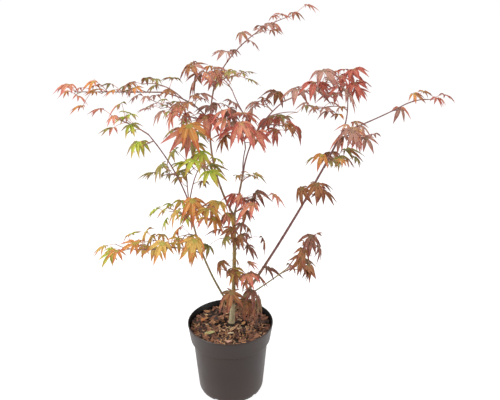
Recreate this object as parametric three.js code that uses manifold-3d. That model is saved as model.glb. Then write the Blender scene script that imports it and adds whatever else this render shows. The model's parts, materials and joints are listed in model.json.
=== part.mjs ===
// A young patio maple in its nursery pot: a grafted stem that forks low, slender
// arching boughs, and loose sprays of finely cut leaves. Millimetres, +Z up, +Y away
// from the viewer, with the origin at the middle of the pot's flat underside.
import * as THREE from 'three';
import { mergeVertices } from 'three/addons/utils/BufferGeometryUtils.js';
import Module from 'manifold-3d';

const wasm = await Module();
wasm.setup();

// Clearance between neighbouring solids
const GAP = 0.3;

// Pot: a nursery container with a deep outer lip
const POT_HEIGHT = 168;
const RIM_RADIUS = 95;
const LIP_HEIGHT = 40;
const LIP_FOOT_RADIUS = 89.5;
const BODY_TOP_RADIUS = 84;
const BODY_FOOT_RADIUS = 74;
const FOOT_RADIUS = 71;
const FOOT_HEIGHT = 12;
const WALL = 2.4;
const FLOOR = 4;
const POT_SIDES = 36;
const SOIL_SIDES = 24;
const DRAIN_COUNT = 5;
const DRAIN_RADIUS = 6.5;

// Potting mix and the bark chips on it
const SOIL_DEPTH_BELOW_RIM = 12;
const SOIL_TOP = POT_HEIGHT - SOIL_DEPTH_BELOW_RIM;
const SOIL_SWELL = 2.2;
const COLLAR_RADIUS = 13;
const CHIP_COUNT = 12;
const CHIP_LENGTH = 24;

// Stem of the grafted stock: it stops at the union, where the thinner top begins
const STOCK_SWELL = 1.26;
const UNION_AT = 0.2;
const FLARE_SWELL = 0.14;
const FLARE_HEIGHT = 9;

// Leaves: five long lobes round a hub, each lobe's angle in degrees and share of the length
const LOBES = [
  { angle: -78, reach: 0.66 },
  { angle: -38, reach: 0.9 },
  { angle: 0, reach: 1 },
  { angle: 38, reach: 0.9 },
  { angle: 78, reach: 0.66 },
];
const OUTERMOST = 70;
const LOBE_HALF_WIDTH = 0.16;
const SHOULDER_AT = 0.5;
const SINUS_REACH = 0.34;
const OUTER_SINUS_REACH = 0.3;
const HEEL = { back: 0.03, side: 0.03 };
const BLADE_THICKNESS = 1.2;

// Growth: how leaves stand off a twig
const STALK_LENGTH = { least: 20, spread: 16 };
const CLEAR_OF_LIMB = 4;
const CLEAR_OF_OTHERS = 9;
const CLEAR_OF_OWN = 8.5;
const BLADE_TESTS = [0.3, 0.53, 0.76, 0.98];
const STALK_TESTS = [0.45, 0.7, 0.9];
const TRIES = 4;
const TWIG_RADII = [1.4, 0.95];
const NODE_HALF_LENGTH = 1.1;
const LONGEST_JOINT = 26;
const TWIG_STEP = 5;
const SEAT_SHARE = 0.06;

const UP = new THREE.Vector3(0, 0, 1);

// Limbs, from the ground up. Each leaves its parent at a share of the parent's length and
// runs to its tip, bowed off the straight line by the bow at its middle. Radii: root, tip.
const LIMBS = [
  { name: 'trunk', root: [2, 10, SOIL_TOP + GAP], tip: [10, 15, 415], bow: [3, 0, 0],
    radii: [5.1, 3.75], color: '#8a7150' },
  { name: 'leader', from: 'trunk', at: 0.99, tip: [-25, 35, 690], bow: [-26, -17, 2],
    radii: [2.4, 1.5], color: '#7a5a45' },
  { name: 'fork_stem', from: 'trunk', at: 0.99, tip: [30, 0, 515], bow: [1, 0, 1],
    radii: [2.3, 1.9], color: '#7d6248' },
  { name: 'inner_rise', from: 'fork_stem', at: 0.98, tip: [35, -45, 575], bow: [-2, 0, 0],
    radii: [1.3, 1.1], color: '#70493f' },
  { name: 'shoulder_bough', from: 'fork_stem', at: 0.98, tip: [105, -70, 670], bow: [-12, -3, 11],
    radii: [1.6, 1.1], color: '#6b453c' },
  { name: 'back_rise', from: 'shoulder_bough', at: 0.52, tip: [5, 130, 660], bow: [-4, -3, -1],
    radii: [1.3, 1], color: '#6b453c' },
  { name: 'right_bough', from: 'trunk', at: 0.09, tip: [240, 70, 585], bow: [9, -1, -1],
    radii: [3.3, 2], color: '#76584a' },
  { name: 'crest_bough', from: 'right_bough', at: 1, tip: [255, 120, 625], bow: [2, 0, 0],
    radii: [1.6, 1.3], color: '#5f3a35' },
  { name: 'far_right_bough', from: 'right_bough', at: 0.99, tip: [345, -10, 655], bow: [1, -4, -1],
    radii: [1.6, 1.1], color: '#5f3a35' },
  { name: 'left_bough', from: 'trunk', at: 0.13, tip: [-80, -20, 455], bow: [-13, -16, 4],
    radii: [2.5, 1.7], color: '#80704a' },
  { name: 'left_outer_bough', from: 'left_bough', at: 1, tip: [-135, -120, 620], bow: [5, 6, 2],
    radii: [1.5, 1.1], color: '#6b4438' },
  { name: 'arch_bough', from: 'leader', at: 0.73, tip: [-120, -30, 680], bow: [5, 1, 8],
    radii: [1.4, 1.1], color: '#6b4438' },
  { name: 'low_left_bough', from: 'left_bough', at: 0.55, tip: [-115, -130, 405], bow: [4, -1, 7],
    radii: [1.5, 1.1], color: '#75583f' },
  { name: 'low_right_bough', from: 'trunk', at: 0.18, tip: [120, -90, 345], bow: [3, 8, -6],
    radii: [1.6, 1.2], color: '#7a5a45' },
];

// Foliage: each mass grows from one twig on a limb, with pairs of leaves from the share
// called first to its tip.
const MASSES = [
  { name: 'top_spray', from: 'leader', at: 1, tip: [130, 60, 815], bow: [-13, -31, 20],
    pairs: 5, first: 0.22, size: 52, droop: 6, seed: 168, color: '#a8746a' },
  { name: 'crown_left', from: 'leader', at: 0.96, tip: [-70, -25, 720], bow: [8, -1, 2],
    pairs: 3, first: 0.3, size: 50, droop: 6, seed: 84, color: '#b06a50' },
  { name: 'crown_right', from: 'leader', at: 0.98, tip: [20, -70, 715], bow: [-1, 0, 4],
    pairs: 2, first: 0.4, size: 48, droop: 16, seed: 57, color: '#9c7452' },
  { name: 'arch_spray', from: 'arch_bough', at: 1, tip: [-265, -90, 690], bow: [2, -5, 1],
    pairs: 5, first: 0.3, size: 50, droop: 28, seed: 354, color: '#b08060' },
  { name: 'arch_shoulder', from: 'arch_bough', at: 0.64, tip: [-170, 40, 685], bow: [3, -3, 11],
    pairs: 3, first: 0.35, size: 50, droop: 42, seed: 71, color: '#8d7650' },
  { name: 'arch_foot', from: 'arch_bough', at: 0.3, tip: [-80, -80, 670], bow: [2, 0, 4],
    pairs: 2, first: 0.5, size: 50, droop: 16, seed: 13, color: '#985a50' },
  { name: 'high_left', from: 'leader', at: 0.69, tip: [-175, 150, 635], bow: [2, 5, 0],
    pairs: 3, first: 0.6, size: 54, droop: 6, seed: 68, color: '#9a7a45' },
  { name: 'heart_left', from: 'leader', at: 0.7, tip: [-85, -60, 635], bow: [-2, -1, 9],
    pairs: 3, first: 0.4, size: 58, droop: 16, seed: 233, color: '#b8684a' },
  { name: 'heart_top', from: 'leader', at: 0.74, tip: [-5, 80, 620], bow: [-1, 0, 5],
    pairs: 2, first: 0.4, size: 52, droop: 16, seed: 357, color: '#8a4f45' },
  { name: 'heart_right', from: 'inner_rise', at: 1, tip: [20, -90, 635], bow: [3, 0, 3],
    pairs: 4, first: 0.35, size: 56, droop: 42, seed: 39, color: '#b25a52' },
  { name: 'inner_crown', from: 'back_rise', at: 0.98, tip: [-25, 165, 685], bow: [2, 0, 2],
    pairs: 3, first: 0.3, size: 52, droop: 28, seed: 282, color: '#a08050' },
  { name: 'shoulder_spray', from: 'shoulder_bough', at: 1, tip: [175, -110, 710], bow: [1, 3, -1],
    pairs: 4, first: 0.35, size: 56, droop: 42, seed: 23, color: '#a9605c' },
  { name: 'shoulder_left', from: 'shoulder_bough', at: 0.83, tip: [70, 30, 660], bow: [-2, 0, -1],
    pairs: 2, first: 0.5, size: 52, droop: 6, seed: 176, color: '#96665a' },
  { name: 'shoulder_low', from: 'shoulder_bough', at: 0.59, tip: [120, -20, 610], bow: [-1, 2, 5],
    pairs: 3, first: 0.4, size: 52, droop: 6, seed: 144, color: '#9c5a48' },
  { name: 'shoulder_far', from: 'shoulder_bough', at: 0.74, tip: [145, 110, 615], bow: [0, 0, 4],
    pairs: 2, first: 0.55, size: 50, droop: 42, seed: 119, color: '#8d7a5a' },
  { name: 'crest', from: 'crest_bough', at: 1, tip: [262, 150, 682], bow: [-1, 1, 1],
    pairs: 4, first: 0.3, size: 56, droop: 6, seed: 224, color: '#a84f48' },
  { name: 'crest_left', from: 'crest_bough', at: 0.82, tip: [175, 60, 630], bow: [10, -1, 9],
    pairs: 3, first: 0.4, size: 52, droop: 42, seed: 391, color: '#98705a' },
  { name: 'fork_spray', from: 'right_bough', at: 0.96, tip: [262, 5, 588], bow: [2, 0, 4],
    pairs: 3, first: 0.35, size: 56, droop: 16, seed: 153, color: '#a8644a' },
  { name: 'mid_right', from: 'right_bough', at: 0.82, tip: [245, 80, 525], bow: [-1, 0, 6],
    pairs: 2, first: 0.5, size: 54, droop: 42, seed: 71, color: '#9a6040' },
  { name: 'mid_left', from: 'right_bough', at: 0.86, tip: [190, -40, 545], bow: [0, 0, 4],
    pairs: 2, first: 0.45, size: 54, droop: 42, seed: 147, color: '#b07050' },
  { name: 'far_right_mid', from: 'far_right_bough', at: 0.76, tip: [345, 0, 640], bow: [-2, 0, 2],
    pairs: 2, first: 0.4, size: 52, droop: 42, seed: 47, color: '#946258' },
  { name: 'far_right_tip', from: 'far_right_bough', at: 0.99, tip: [380, -40, 668], bow: [1, 1, 3],
    pairs: 3, first: 0.3, size: 46, droop: 28, seed: 354, color: '#b26a5c' },
  { name: 'low_mid', from: 'right_bough', at: 0.65, tip: [180, 20, 470], bow: [-2, 0, 4],
    pairs: 2, first: 0.5, size: 54, droop: 28, seed: 2, color: '#96504a' },
  { name: 'low_right_tip', from: 'low_right_bough', at: 0.98, tip: [160, -130, 415], bow: [3, -1, 11],
    pairs: 3, first: 0.4, size: 54, droop: 42, seed: 399, color: '#8c4f42' },
  { name: 'low_right_mid', from: 'low_right_bough', at: 0.85, tip: [145, -50, 330], bow: [1, 0, 1],
    pairs: 3, first: 0.35, size: 54, droop: 6, seed: 56, color: '#8a5540' },
  { name: 'red_right', from: 'fork_stem', at: 0.28, tip: [65, -60, 480], bow: [-1, -1, 8],
    pairs: 3, first: 0.35, size: 52, droop: 28, seed: 14, color: '#b05a58' },
  { name: 'fork_small', from: 'fork_stem', at: 0.74, tip: [45, 50, 490], bow: [-2, 0, 2],
    pairs: 2, first: 0.4, size: 36, droop: 28, seed: 134, color: '#a08050' },
  { name: 'orange_left', from: 'left_bough', at: 0.79, tip: [-130, 60, 405], bow: [2, 0, 12],
    pairs: 3, first: 0.35, size: 52, droop: 16, seed: 249, color: '#b87a48' },
  { name: 'orange_right', from: 'left_bough', at: 0.92, tip: [-25, -60, 460], bow: [4, 2, 9],
    pairs: 4, first: 0.3, size: 52, droop: 42, seed: 35, color: '#b5603f' },
  { name: 'left_outer_tip', from: 'left_outer_bough', at: 1, tip: [-185, -150, 655], bow: [1, 1, 2],
    pairs: 3, first: 0.35, size: 50, droop: 16, seed: 89, color: '#b07a58' },
  { name: 'left_outer_mid', from: 'left_outer_bough', at: 0.91, tip: [-155, -90, 590], bow: [1, 0, 1],
    pairs: 2, first: 0.4, size: 50, droop: 42, seed: 275, color: '#8f8048' },
  { name: 'left_outer_low', from: 'left_outer_bough', at: 0.41, tip: [-130, -10, 510], bow: [0, 0, 3],
    pairs: 3, first: 0.3, size: 48, droop: 42, seed: 139, color: '#85783f' },
  { name: 'left_upright', from: 'left_bough', at: 1, tip: [-90, 80, 565], bow: [-4, 2, 2],
    pairs: 3, first: 0.62, size: 54, droop: 42, seed: 423, color: '#9f9440' },
  { name: 'left_inner', from: 'left_bough', at: 0.99, tip: [-35, -100, 555], bow: [-2, 9, 24],
    pairs: 3, first: 0.55, size: 52, droop: 6, seed: 388, color: '#93903c' },
  { name: 'low_left_tip', from: 'low_left_bough', at: 1, tip: [-215, -100, 400], bow: [-9, -14, 0],
    pairs: 3, first: 0.3, size: 52, droop: 6, seed: 228, color: '#a08a48' },
  { name: 'low_left_mid', from: 'low_left_bough', at: 0.86, tip: [-150, -60, 390], bow: [1, 0, 4],
    pairs: 2, first: 0.5, size: 52, droop: 42, seed: 19, color: '#90854a' },
  { name: 'trunk_top', from: 'trunk', at: 0.91, tip: [35, -40, 430], bow: [-3, 0, 4],
    pairs: 2, first: 0.4, size: 44, droop: 42, seed: 79, color: '#94523f' },
  { name: 'trunk_left', from: 'trunk', at: 0.73, tip: [-15, -50, 390], bow: [3, 0, 6],
    pairs: 2, first: 0.5, size: 44, droop: 42, seed: 191, color: '#8f6a42' },
  { name: 'trunk_right', from: 'trunk', at: 0.67, tip: [40, -50, 390], bow: [-2, 0, 1],
    pairs: 3, first: 0.35, size: 44, droop: 6, seed: 280, color: '#8a5048' },
  { name: 'low_left_trunk', from: 'trunk', at: 0.43, tip: [-15, -40, 315], bow: [2, 0, 3],
    pairs: 2, first: 0.5, size: 44, droop: 6, seed: 24, color: '#8f5f40' },
  { name: 'low_right_trunk', from: 'trunk', at: 0.36, tip: [50, -55, 310], bow: [-3, 0, 6],
    pairs: 3, first: 0.4, size: 50, droop: 16, seed: 425, color: '#94504a' },
  { name: 'base_left', from: 'trunk', at: 0.19, tip: [8, -62, 256], bow: [2, 0, 5],
    pairs: 2, first: 0.5, size: 52, droop: 28, seed: 122, color: '#86563f' },
  { name: 'base_right', from: 'trunk', at: 0.17, tip: [35, -35, 245], bow: [-2, 0, 3],
    pairs: 2, first: 0.5, size: 52, droop: 28, seed: 358, color: '#855040' },
  { name: 'low_left_inner', from: 'left_bough', at: 0.7, tip: [-85, -130, 420], bow: [-1, 0, 11],
    pairs: 3, first: 0.45, size: 54, droop: 28, seed: 322, color: '#b98a4a' },
];

// Same numbers in every run: a linear congruential generator
function makeRandom(seed) {
  let state = seed;
  const next = () => {
    state = (state * 1664525 + 1013904223) % 4294967296;
    return state / 4294967296;
  };
  for (let i = 0; i < 4; i += 1) next();
  return { next, swing: (size) => (next() * 2 - 1) * size };
}

// Turn a closed three.js geometry into a solid
function toSolid(geometry) {
  geometry.deleteAttribute('normal');
  geometry.deleteAttribute('uv');
  const merged = mergeVertices(geometry, 1e-4);
  return new wasm.Manifold(new wasm.Mesh({
    numProp: 3,
    vertProperties: new Float32Array(merged.attributes.position.array),
    triVerts: new Uint32Array(merged.index.array),
  }));
}

// Turn a solid back into a geometry
function toGeometry(solid) {
  const mesh = solid.getMesh();
  const geometry = new THREE.BufferGeometry();
  geometry.setAttribute('position', new THREE.BufferAttribute(new Float32Array(mesh.vertProperties), 3));
  geometry.setIndex(new THREE.BufferAttribute(new Uint32Array(mesh.triVerts), 1));
  return geometry;
}

// The largest of a solid's separate pieces
function largestPiece(solid) {
  const pieces = solid.decompose();
  return pieces.reduce((best, piece) => (piece.volume() > best.volume() ? piece : best));
}

// Whether the boxes round two solids meet
function boxesMeet(a, b) {
  const p = a.boundingBox();
  const q = b.boundingBox();
  return [0, 1, 2].every((i) => p.min[i] < q.max[i] && q.min[i] < p.max[i]);
}

// A named mesh in its own colour
function piece(name, geometry, color, roughness = 0.7) {
  const mesh = new THREE.Mesh(geometry, new THREE.MeshStandardMaterial({ color, roughness, metalness: 0 }));
  mesh.name = name;
  return mesh;
}

// Solid turned about the pot's axis from [radius, height] pairs, closed on the axis
function turned(profile, sides) {
  const points = profile.map(([radius, height]) => new THREE.Vector2(radius, height));
  const geometry = new THREE.LatheGeometry(points, sides);
  geometry.rotateX(Math.PI / 2);
  return toSolid(geometry);
}

// Inner wall of the pot: radius at the rim, at the lip's foot, and at the floor
const INNER_RIM_RADIUS = RIM_RADIUS - WALL;
const INNER_LIP_RADIUS = LIP_FOOT_RADIUS - WALL;
const INNER_BODY_RADIUS = BODY_TOP_RADIUS - WALL;
const INNER_FOOT_RADIUS = BODY_FOOT_RADIUS - WALL - 1;
const LIP_FOOT = POT_HEIGHT - LIP_HEIGHT;
const SHELF = LIP_FOOT + WALL;

function makePot() {
  const shell = turned([
    [0, 0],
    [FOOT_RADIUS - 3, 0],
    [FOOT_RADIUS, 2],
    [BODY_FOOT_RADIUS - 0.6, FOOT_HEIGHT - 4],
    [BODY_FOOT_RADIUS, FOOT_HEIGHT],
    [BODY_TOP_RADIUS, LIP_FOOT],
    [LIP_FOOT_RADIUS, LIP_FOOT],
    [RIM_RADIUS, POT_HEIGHT - 2],
    [RIM_RADIUS - 0.6, POT_HEIGHT],
    [INNER_RIM_RADIUS, POT_HEIGHT],
    [INNER_LIP_RADIUS, SHELF + 2],
    [INNER_BODY_RADIUS, SHELF],
    [INNER_FOOT_RADIUS, FLOOR + 3],
    [INNER_FOOT_RADIUS - 3, FLOOR],
    [0, FLOOR],
  ], POT_SIDES);
  let pot = shell;
  for (let i = 0; i < DRAIN_COUNT; i += 1) pot = pot.subtract(makeDrain((i + 0.4) / DRAIN_COUNT));
  return pot;
}

// One arched drain slot through the corner between the floor and the wall
function makeDrain(turn) {
  const reach = 26;
  const geometry = new THREE.CylinderGeometry(DRAIN_RADIUS, DRAIN_RADIUS, reach, 8);
  geometry.rotateZ(Math.PI / 2);
  geometry.translate(FOOT_RADIUS, 0, -0.5);
  geometry.rotateZ(turn * Math.PI * 2);
  return toSolid(geometry);
}

// Height of the soil's uneven top
function soilHeight(x, y) {
  const out = Math.hypot(x, y);
  if (out < COLLAR_RADIUS + 2) return SOIL_TOP;
  const fade = Math.min(1, (out - COLLAR_RADIUS) / 25);
  const waves = Math.sin(x * 0.11 + 1) * Math.cos(y * 0.13) + 0.5 * Math.sin(x * 0.05 - y * 0.07);
  return SOIL_TOP + SOIL_SWELL * fade * waves;
}

function makeSoil() {
  const top = [84, 62, 38, COLLAR_RADIUS + 1].map((radius) => [radius, SOIL_TOP]);
  const rimShare = (SOIL_TOP - SHELF - 2) / (POT_HEIGHT - SHELF - 2);
  const soilRadius = INNER_LIP_RADIUS + (INNER_RIM_RADIUS - INNER_LIP_RADIUS) * rimShare;
  const plug = new THREE.LatheGeometry([
    [0, FLOOR + GAP],
    [INNER_FOOT_RADIUS - 3.4, FLOOR + GAP],
    [INNER_FOOT_RADIUS - 0.4, FLOOR + 3 + GAP],
    [INNER_BODY_RADIUS - 0.4, SHELF + GAP],
    [INNER_LIP_RADIUS - 0.5, SHELF + 2 + GAP],
    [soilRadius - 1.4, SOIL_TOP - 5],
    ...top,
    [0, SOIL_TOP],
  ].map(([radius, height]) => new THREE.Vector2(radius, height)), SOIL_SIDES);
  plug.rotateX(Math.PI / 2);
  const at = plug.attributes.position;
  for (let i = 0; i < at.count; i += 1) {
    if (at.getZ(i) > SOIL_TOP - 1) at.setZ(i, soilHeight(at.getX(i), at.getY(i)));
  }
  let soil = toSolid(plug);
  const random = makeRandom(11);
  for (let i = 0; i < CHIP_COUNT; i += 1) soil = soil.add(makeChip(random, i / CHIP_COUNT));
  return largestPiece(soil);
}

// One flake of bark, lying on the soil and sunk a little into it
function makeChip(random, turn) {
  const length = CHIP_LENGTH * (0.6 + 0.6 * random.next());
  const chip = new THREE.BoxGeometry(length, length * (0.35 + 0.3 * random.next()), 3.4);
  chip.rotateY(random.swing(0.28));
  chip.rotateX(random.swing(0.28));
  chip.rotateZ(random.next() * Math.PI);
  const angle = (turn + random.swing(0.03)) * Math.PI * 2;
  const out = 28 + 42 * Math.sqrt(random.next());
  const x = Math.cos(angle) * out;
  const y = Math.sin(angle) * out;
  chip.translate(x, y, soilHeight(x, y) + 0.6);
  return toSolid(chip);
}

// Curve of a limb or twig from its root to its tip, bowed at its middle
function makeCurve(root, tip, bow) {
  const end = new THREE.Vector3(...tip);
  const control = root.clone().add(end).multiplyScalar(0.5).add(new THREE.Vector3(...bow).multiplyScalar(2));
  return new THREE.QuadraticBezierCurve3(root, control, end);
}

// Tapering limb along a curve, wider by grow all round; swell changes its girth by share
function limbSolid(curve, radii, sides, grow = 0, swell = () => 1) {
  const [rootRadius, tipRadius] = radii;
  const steps = Math.max(3, Math.round(curve.getLength() / (sides > 3 ? 22 : 18)));
  const rings = swell(0) === 1 ? steps : steps * 2;
  const geometry = new THREE.CylinderGeometry(1, 1, 1, sides, rings);
  const frames = curve.computeFrenetFrames(rings);
  const at = geometry.attributes.position;
  const side = grow / Math.cos(Math.PI / sides);
  for (let i = 0; i < at.count; i += 1) {
    const ring = Math.round((at.getY(i) + 0.5) * rings);
    const share = ring / rings;
    const radius = (rootRadius + (tipRadius - rootRadius) * share) * swell(share) + side;
    const point = curve.getPoint(share);
    point.addScaledVector(frames.normals[ring], at.getX(i) * radius);
    point.addScaledVector(frames.binormals[ring], -at.getZ(i) * radius);
    if (ring === 0) point.addScaledVector(frames.tangents[ring], -grow);
    if (ring === rings) point.addScaledVector(frames.tangents[ring], grow);
    at.setXYZ(i, point.x, point.y, point.z);
  }
  return geometry;
}

// Girth of the trunk: flared at the soil, stout up to the graft union, then slender
function trunkSwell(length) {
  return (share) => {
    const flare = FLARE_SWELL * Math.exp((-share * length) / FLARE_HEIGHT);
    const stock = 1 / (1 + Math.exp((share - UNION_AT) * 60));
    return 1 + (STOCK_SWELL - 1) * stock + flare;
  };
}

// Every limb's curve, solid, and the larger solid that its neighbours are cut clear of
function makeLimbs() {
  const limbs = new Map();
  for (const plan of LIMBS) {
    const parent = limbs.get(plan.from);
    const root = parent ? parent.curve.getPoint(plan.at) : new THREE.Vector3(...plan.root);
    const curve = makeCurve(root, plan.tip, plan.bow);
    const sides = plan.radii[0] > 2 ? 7 : 6;
    const swell = parent ? undefined : trunkSwell(curve.getLength());
    const geometry = limbSolid(curve, plan.radii, sides, 0, swell);
    if (!parent) flattenFoot(geometry);
    let solid = toSolid(geometry);
    for (const other of limbs.values()) {
      if (boxesMeet(solid, other.grown)) solid = solid.subtract(other.grown);
    }
    const grown = toSolid(limbSolid(curve, plan.radii, sides, GAP, swell));
    limbs.set(plan.name, { ...plan, curve, grown, solid: largestPiece(solid) });
  }
  return limbs;
}

// Level the trunk's lowest ring to a flat cut just clear of the soil
function flattenFoot(geometry) {
  const at = geometry.attributes.position;
  let lowest = Infinity;
  for (let i = 0; i < at.count; i += 1) lowest = Math.min(lowest, at.getZ(i));
  for (let i = 0; i < at.count; i += 1) {
    if (at.getZ(i) < lowest + 2) at.setZ(i, SOIL_TOP + GAP);
  }
}

// A point of the flat blade, x ahead and y to the side, on the drooping blade
function bend(leaf, x, y) {
  const out = Math.hypot(x, y);
  const turn = out / leaf.curlRadius;
  const level = (leaf.curlRadius * Math.sin(turn)) / Math.max(out, 1e-9);
  return leaf.hub.clone()
    .addScaledVector(leaf.ahead, x * level)
    .addScaledVector(leaf.side, y * level)
    .addScaledVector(leaf.above, -leaf.curlRadius * (1 - Math.cos(turn)));
}

// Outline of the flat blade from the heel's one side round to the other
function bladeOutline(length) {
  const points = [[-HEEL.back * length, -HEEL.side * length]];
  LOBES.forEach((lobe, i) => {
    const angle = THREE.MathUtils.degToRad(lobe.angle);
    const size = lobe.reach * length;
    for (const [along, across] of [[SHOULDER_AT, -1], [1, 0], [SHOULDER_AT, 1]]) {
      if (across * lobe.angle > OUTERMOST) continue;
      const x = along * size;
      const y = across * LOBE_HALF_WIDTH * size;
      points.push([x * Math.cos(angle) - y * Math.sin(angle), x * Math.sin(angle) + y * Math.cos(angle)]);
    }
    const next = LOBES[i + 1];
    if (!next) return;
    const middle = THREE.MathUtils.degToRad((lobe.angle + next.angle) / 2);
    const reach = (Math.abs(lobe.angle + next.angle) > 80 ? OUTER_SINUS_REACH : SINUS_REACH) * length;
    points.push([reach * Math.cos(middle), reach * Math.sin(middle)]);
  });
  points.push([-HEEL.back * length, HEEL.side * length]);
  return points;
}

// Points on a blade that are tested for room
function bladeSamples(leaf) {
  const samples = [bend(leaf, 0.02 * leaf.length, 0)];
  for (const lobe of LOBES) {
    const angle = THREE.MathUtils.degToRad(lobe.angle);
    for (const share of BLADE_TESTS) {
      const out = share * lobe.reach * leaf.length;
      samples.push(bend(leaf, out * Math.cos(angle), out * Math.sin(angle)));
    }
  }
  return samples;
}

// One leaf on its stalk: where it stands, how it turns, droops and curls
function placeLeaf(random, node, tangent, out, mass) {
  const lean = new THREE.Vector3(random.swing(0.3), random.swing(0.3), random.swing(0.3));
  const stalk = STALK_LENGTH.least + STALK_LENGTH.spread * random.next();
  const along = out.clone().multiplyScalar(0.85).addScaledVector(tangent, 0.45)
    .addScaledVector(UP, 0.3).add(lean).normalize();
  const hub = node.clone().addScaledVector(along, stalk);
  const level = new THREE.Vector3(along.x + tangent.x * 0.3, along.y + tangent.y * 0.3, 0).normalize();
  level.applyAxisAngle(UP, THREE.MathUtils.degToRad(random.swing(40)));
  const pitch = THREE.MathUtils.degToRad(mass.droop + random.swing(20));
  const ahead = level.clone().multiplyScalar(Math.cos(pitch)).addScaledVector(UP, -Math.sin(pitch));
  const above = level.clone().multiplyScalar(Math.sin(pitch)).addScaledVector(UP, Math.cos(pitch));
  const side = above.clone().cross(ahead);
  const roll = THREE.MathUtils.degToRad(random.swing(32));
  const tilted = above.clone().multiplyScalar(Math.cos(roll)).addScaledVector(side, Math.sin(roll));
  side.multiplyScalar(Math.cos(roll)).addScaledVector(above, -Math.sin(roll));
  const length = mass.size * (0.8 + 0.3 * random.next());
  const curlRadius = length / (0.4 + 0.5 * random.next());
  return { node, hub, ahead, side, above: tilted, length, curlRadius };
}

// Whether every one of the points keeps its distance from every other thing
function hasRoom(points, others, clear) {
  return points.every((point) => others.every((other) => (
    point.distanceToSquared(other.at) >= (other.radius + clear) ** 2
  )));
}

// Pairs of leaves up a twig. A leaf that finds no room after a few tries is left out.
function growLeaves(mass, limbs, others) {
  const random = makeRandom(mass.seed);
  const leaves = [];
  const own = [];
  for (let i = 0; i < mass.pairs; i += 1) {
    const share = mass.pairs > 1 ? mass.first + ((1 - mass.first) * i) / (mass.pairs - 1) : 1;
    const node = mass.curve.getPoint(share);
    const tangent = mass.curve.getTangent(share);
    const level = tangent.clone().cross(UP).normalize();
    const over = level.clone().cross(tangent);
    const spin = THREE.MathUtils.degToRad((i % 2) * 60 + random.swing(35));
    const axis = level.multiplyScalar(Math.cos(spin)).addScaledVector(over, Math.sin(spin));
    for (const sign of [1, -1]) {
      for (let attempt = 0; attempt < TRIES; attempt += 1) {
        const leaf = placeLeaf(random, node, tangent, axis.clone().multiplyScalar(sign), mass);
        const blade = bladeSamples(leaf);
        const all = [...blade, ...STALK_TESTS.map((k) => leaf.node.clone().lerp(leaf.hub, k))];
        if (!hasRoom(blade, mass.room, CLEAR_OF_LIMB)) continue;
        if (!hasRoom(all, limbs, CLEAR_OF_LIMB)) continue;
        if (!hasRoom(all, others, CLEAR_OF_OTHERS)) continue;
        if (!hasRoom(all, own, CLEAR_OF_OWN)) continue;
        leaves.push({ ...leaf, share });
        own.push(...all.map((at) => ({ at, radius: 0 })));
        break;
      }
    }
  }
  return { leaves, own };
}

// Shares of a twig's length where it has a ring: its ends, both sides of each leaf pair,
// and enough others to keep its curve
function ringShares(mass, leaves) {
  const half = NODE_HALF_LENGTH / mass.curve.getLength();
  const shares = [0];
  for (const share of new Set(leaves.map((leaf) => leaf.share))) {
    const middle = Math.min(share, 1 - half);
    const before = shares[shares.length - 1];
    const joints = Math.ceil(((middle - before) * mass.curve.getLength()) / LONGEST_JOINT);
    for (let i = 1; i < joints; i += 1) shares.push(before + ((middle - before) * i) / joints);
    shares.push(middle - half, middle + half);
  }
  if (shares[shares.length - 1] < 1) shares.push(1);
  return shares;
}

// Three-sided twig as points and outward triangles, each with the share of its lower ring
function twigMesh(curve, shares) {
  const chord = curve.v2.clone().sub(curve.v0).normalize();
  const reference = Math.abs(chord.z) > 0.8 ? new THREE.Vector3(1, 0, 0) : UP;
  const points = [];
  const triangles = [];
  shares.forEach((share, k) => {
    const centre = curve.getPoint(share);
    const tangent = curve.getTangent(share);
    const across = reference.clone().cross(tangent).normalize();
    const over = tangent.clone().cross(across);
    const radius = THREE.MathUtils.lerp(TWIG_RADII[0], TWIG_RADII[1], share);
    for (let j = 0; j < 3; j += 1) {
      const angle = (j * Math.PI * 2) / 3;
      points.push(centre.clone()
        .addScaledVector(across, radius * Math.cos(angle))
        .addScaledVector(over, radius * Math.sin(angle)));
    }
    if (k === 0) return;
    for (let j = 0; j < 3; j += 1) {
      const [a, b] = [3 * (k - 1) + j, 3 * (k - 1) + ((j + 1) % 3)];
      triangles.push({ ring: k, corners: [a, b, b + 3] }, { ring: k, corners: [a, b + 3, a + 3] });
    }
  });
  const end = points.length;
  triangles.push({ ring: -1, corners: [0, 2, 1] }, { ring: -1, corners: [end - 3, end - 2, end - 1] });
  return { points, triangles };
}

// The free face of a twig's node that looks most nearly along a leaf's stalk
function takeFace(twig, shares, leaf) {
  const ring = shares.findIndex((share, k) => k > 0 && share > leaf.share - 1e-6);
  const lookAlong = ({ corners }) => {
    const [a, b, c] = corners.map((i) => twig.points[i]);
    const normal = b.clone().sub(a).cross(c.clone().sub(a)).normalize();
    return normal.dot(leaf.hub.clone().sub(leaf.node));
  };
  const free = twig.triangles.filter((triangle) => triangle.ring === Math.min(ring, shares.length - 1));
  const best = free.reduce((one, other) => (lookAlong(other) > lookAlong(one) ? other : one));
  twig.triangles.splice(twig.triangles.indexOf(best), 1);
  return best.corners;
}

// Turn of a face's corners that lets its stalk run to the blade with the least twist
function leastTwist(corners, points, across, over) {
  const turns = [0, 1, 2].map((k) => [corners[k], corners[(k + 1) % 3], corners[(k + 2) % 3]]);
  const fit = ([left, low, right]) => points[right].clone().sub(points[left]).dot(across)
    - points[low].dot(over) + points[left].clone().add(points[right]).dot(over) / 2;
  return turns.reduce((one, other) => (fit(other) > fit(one) ? other : one));
}

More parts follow.
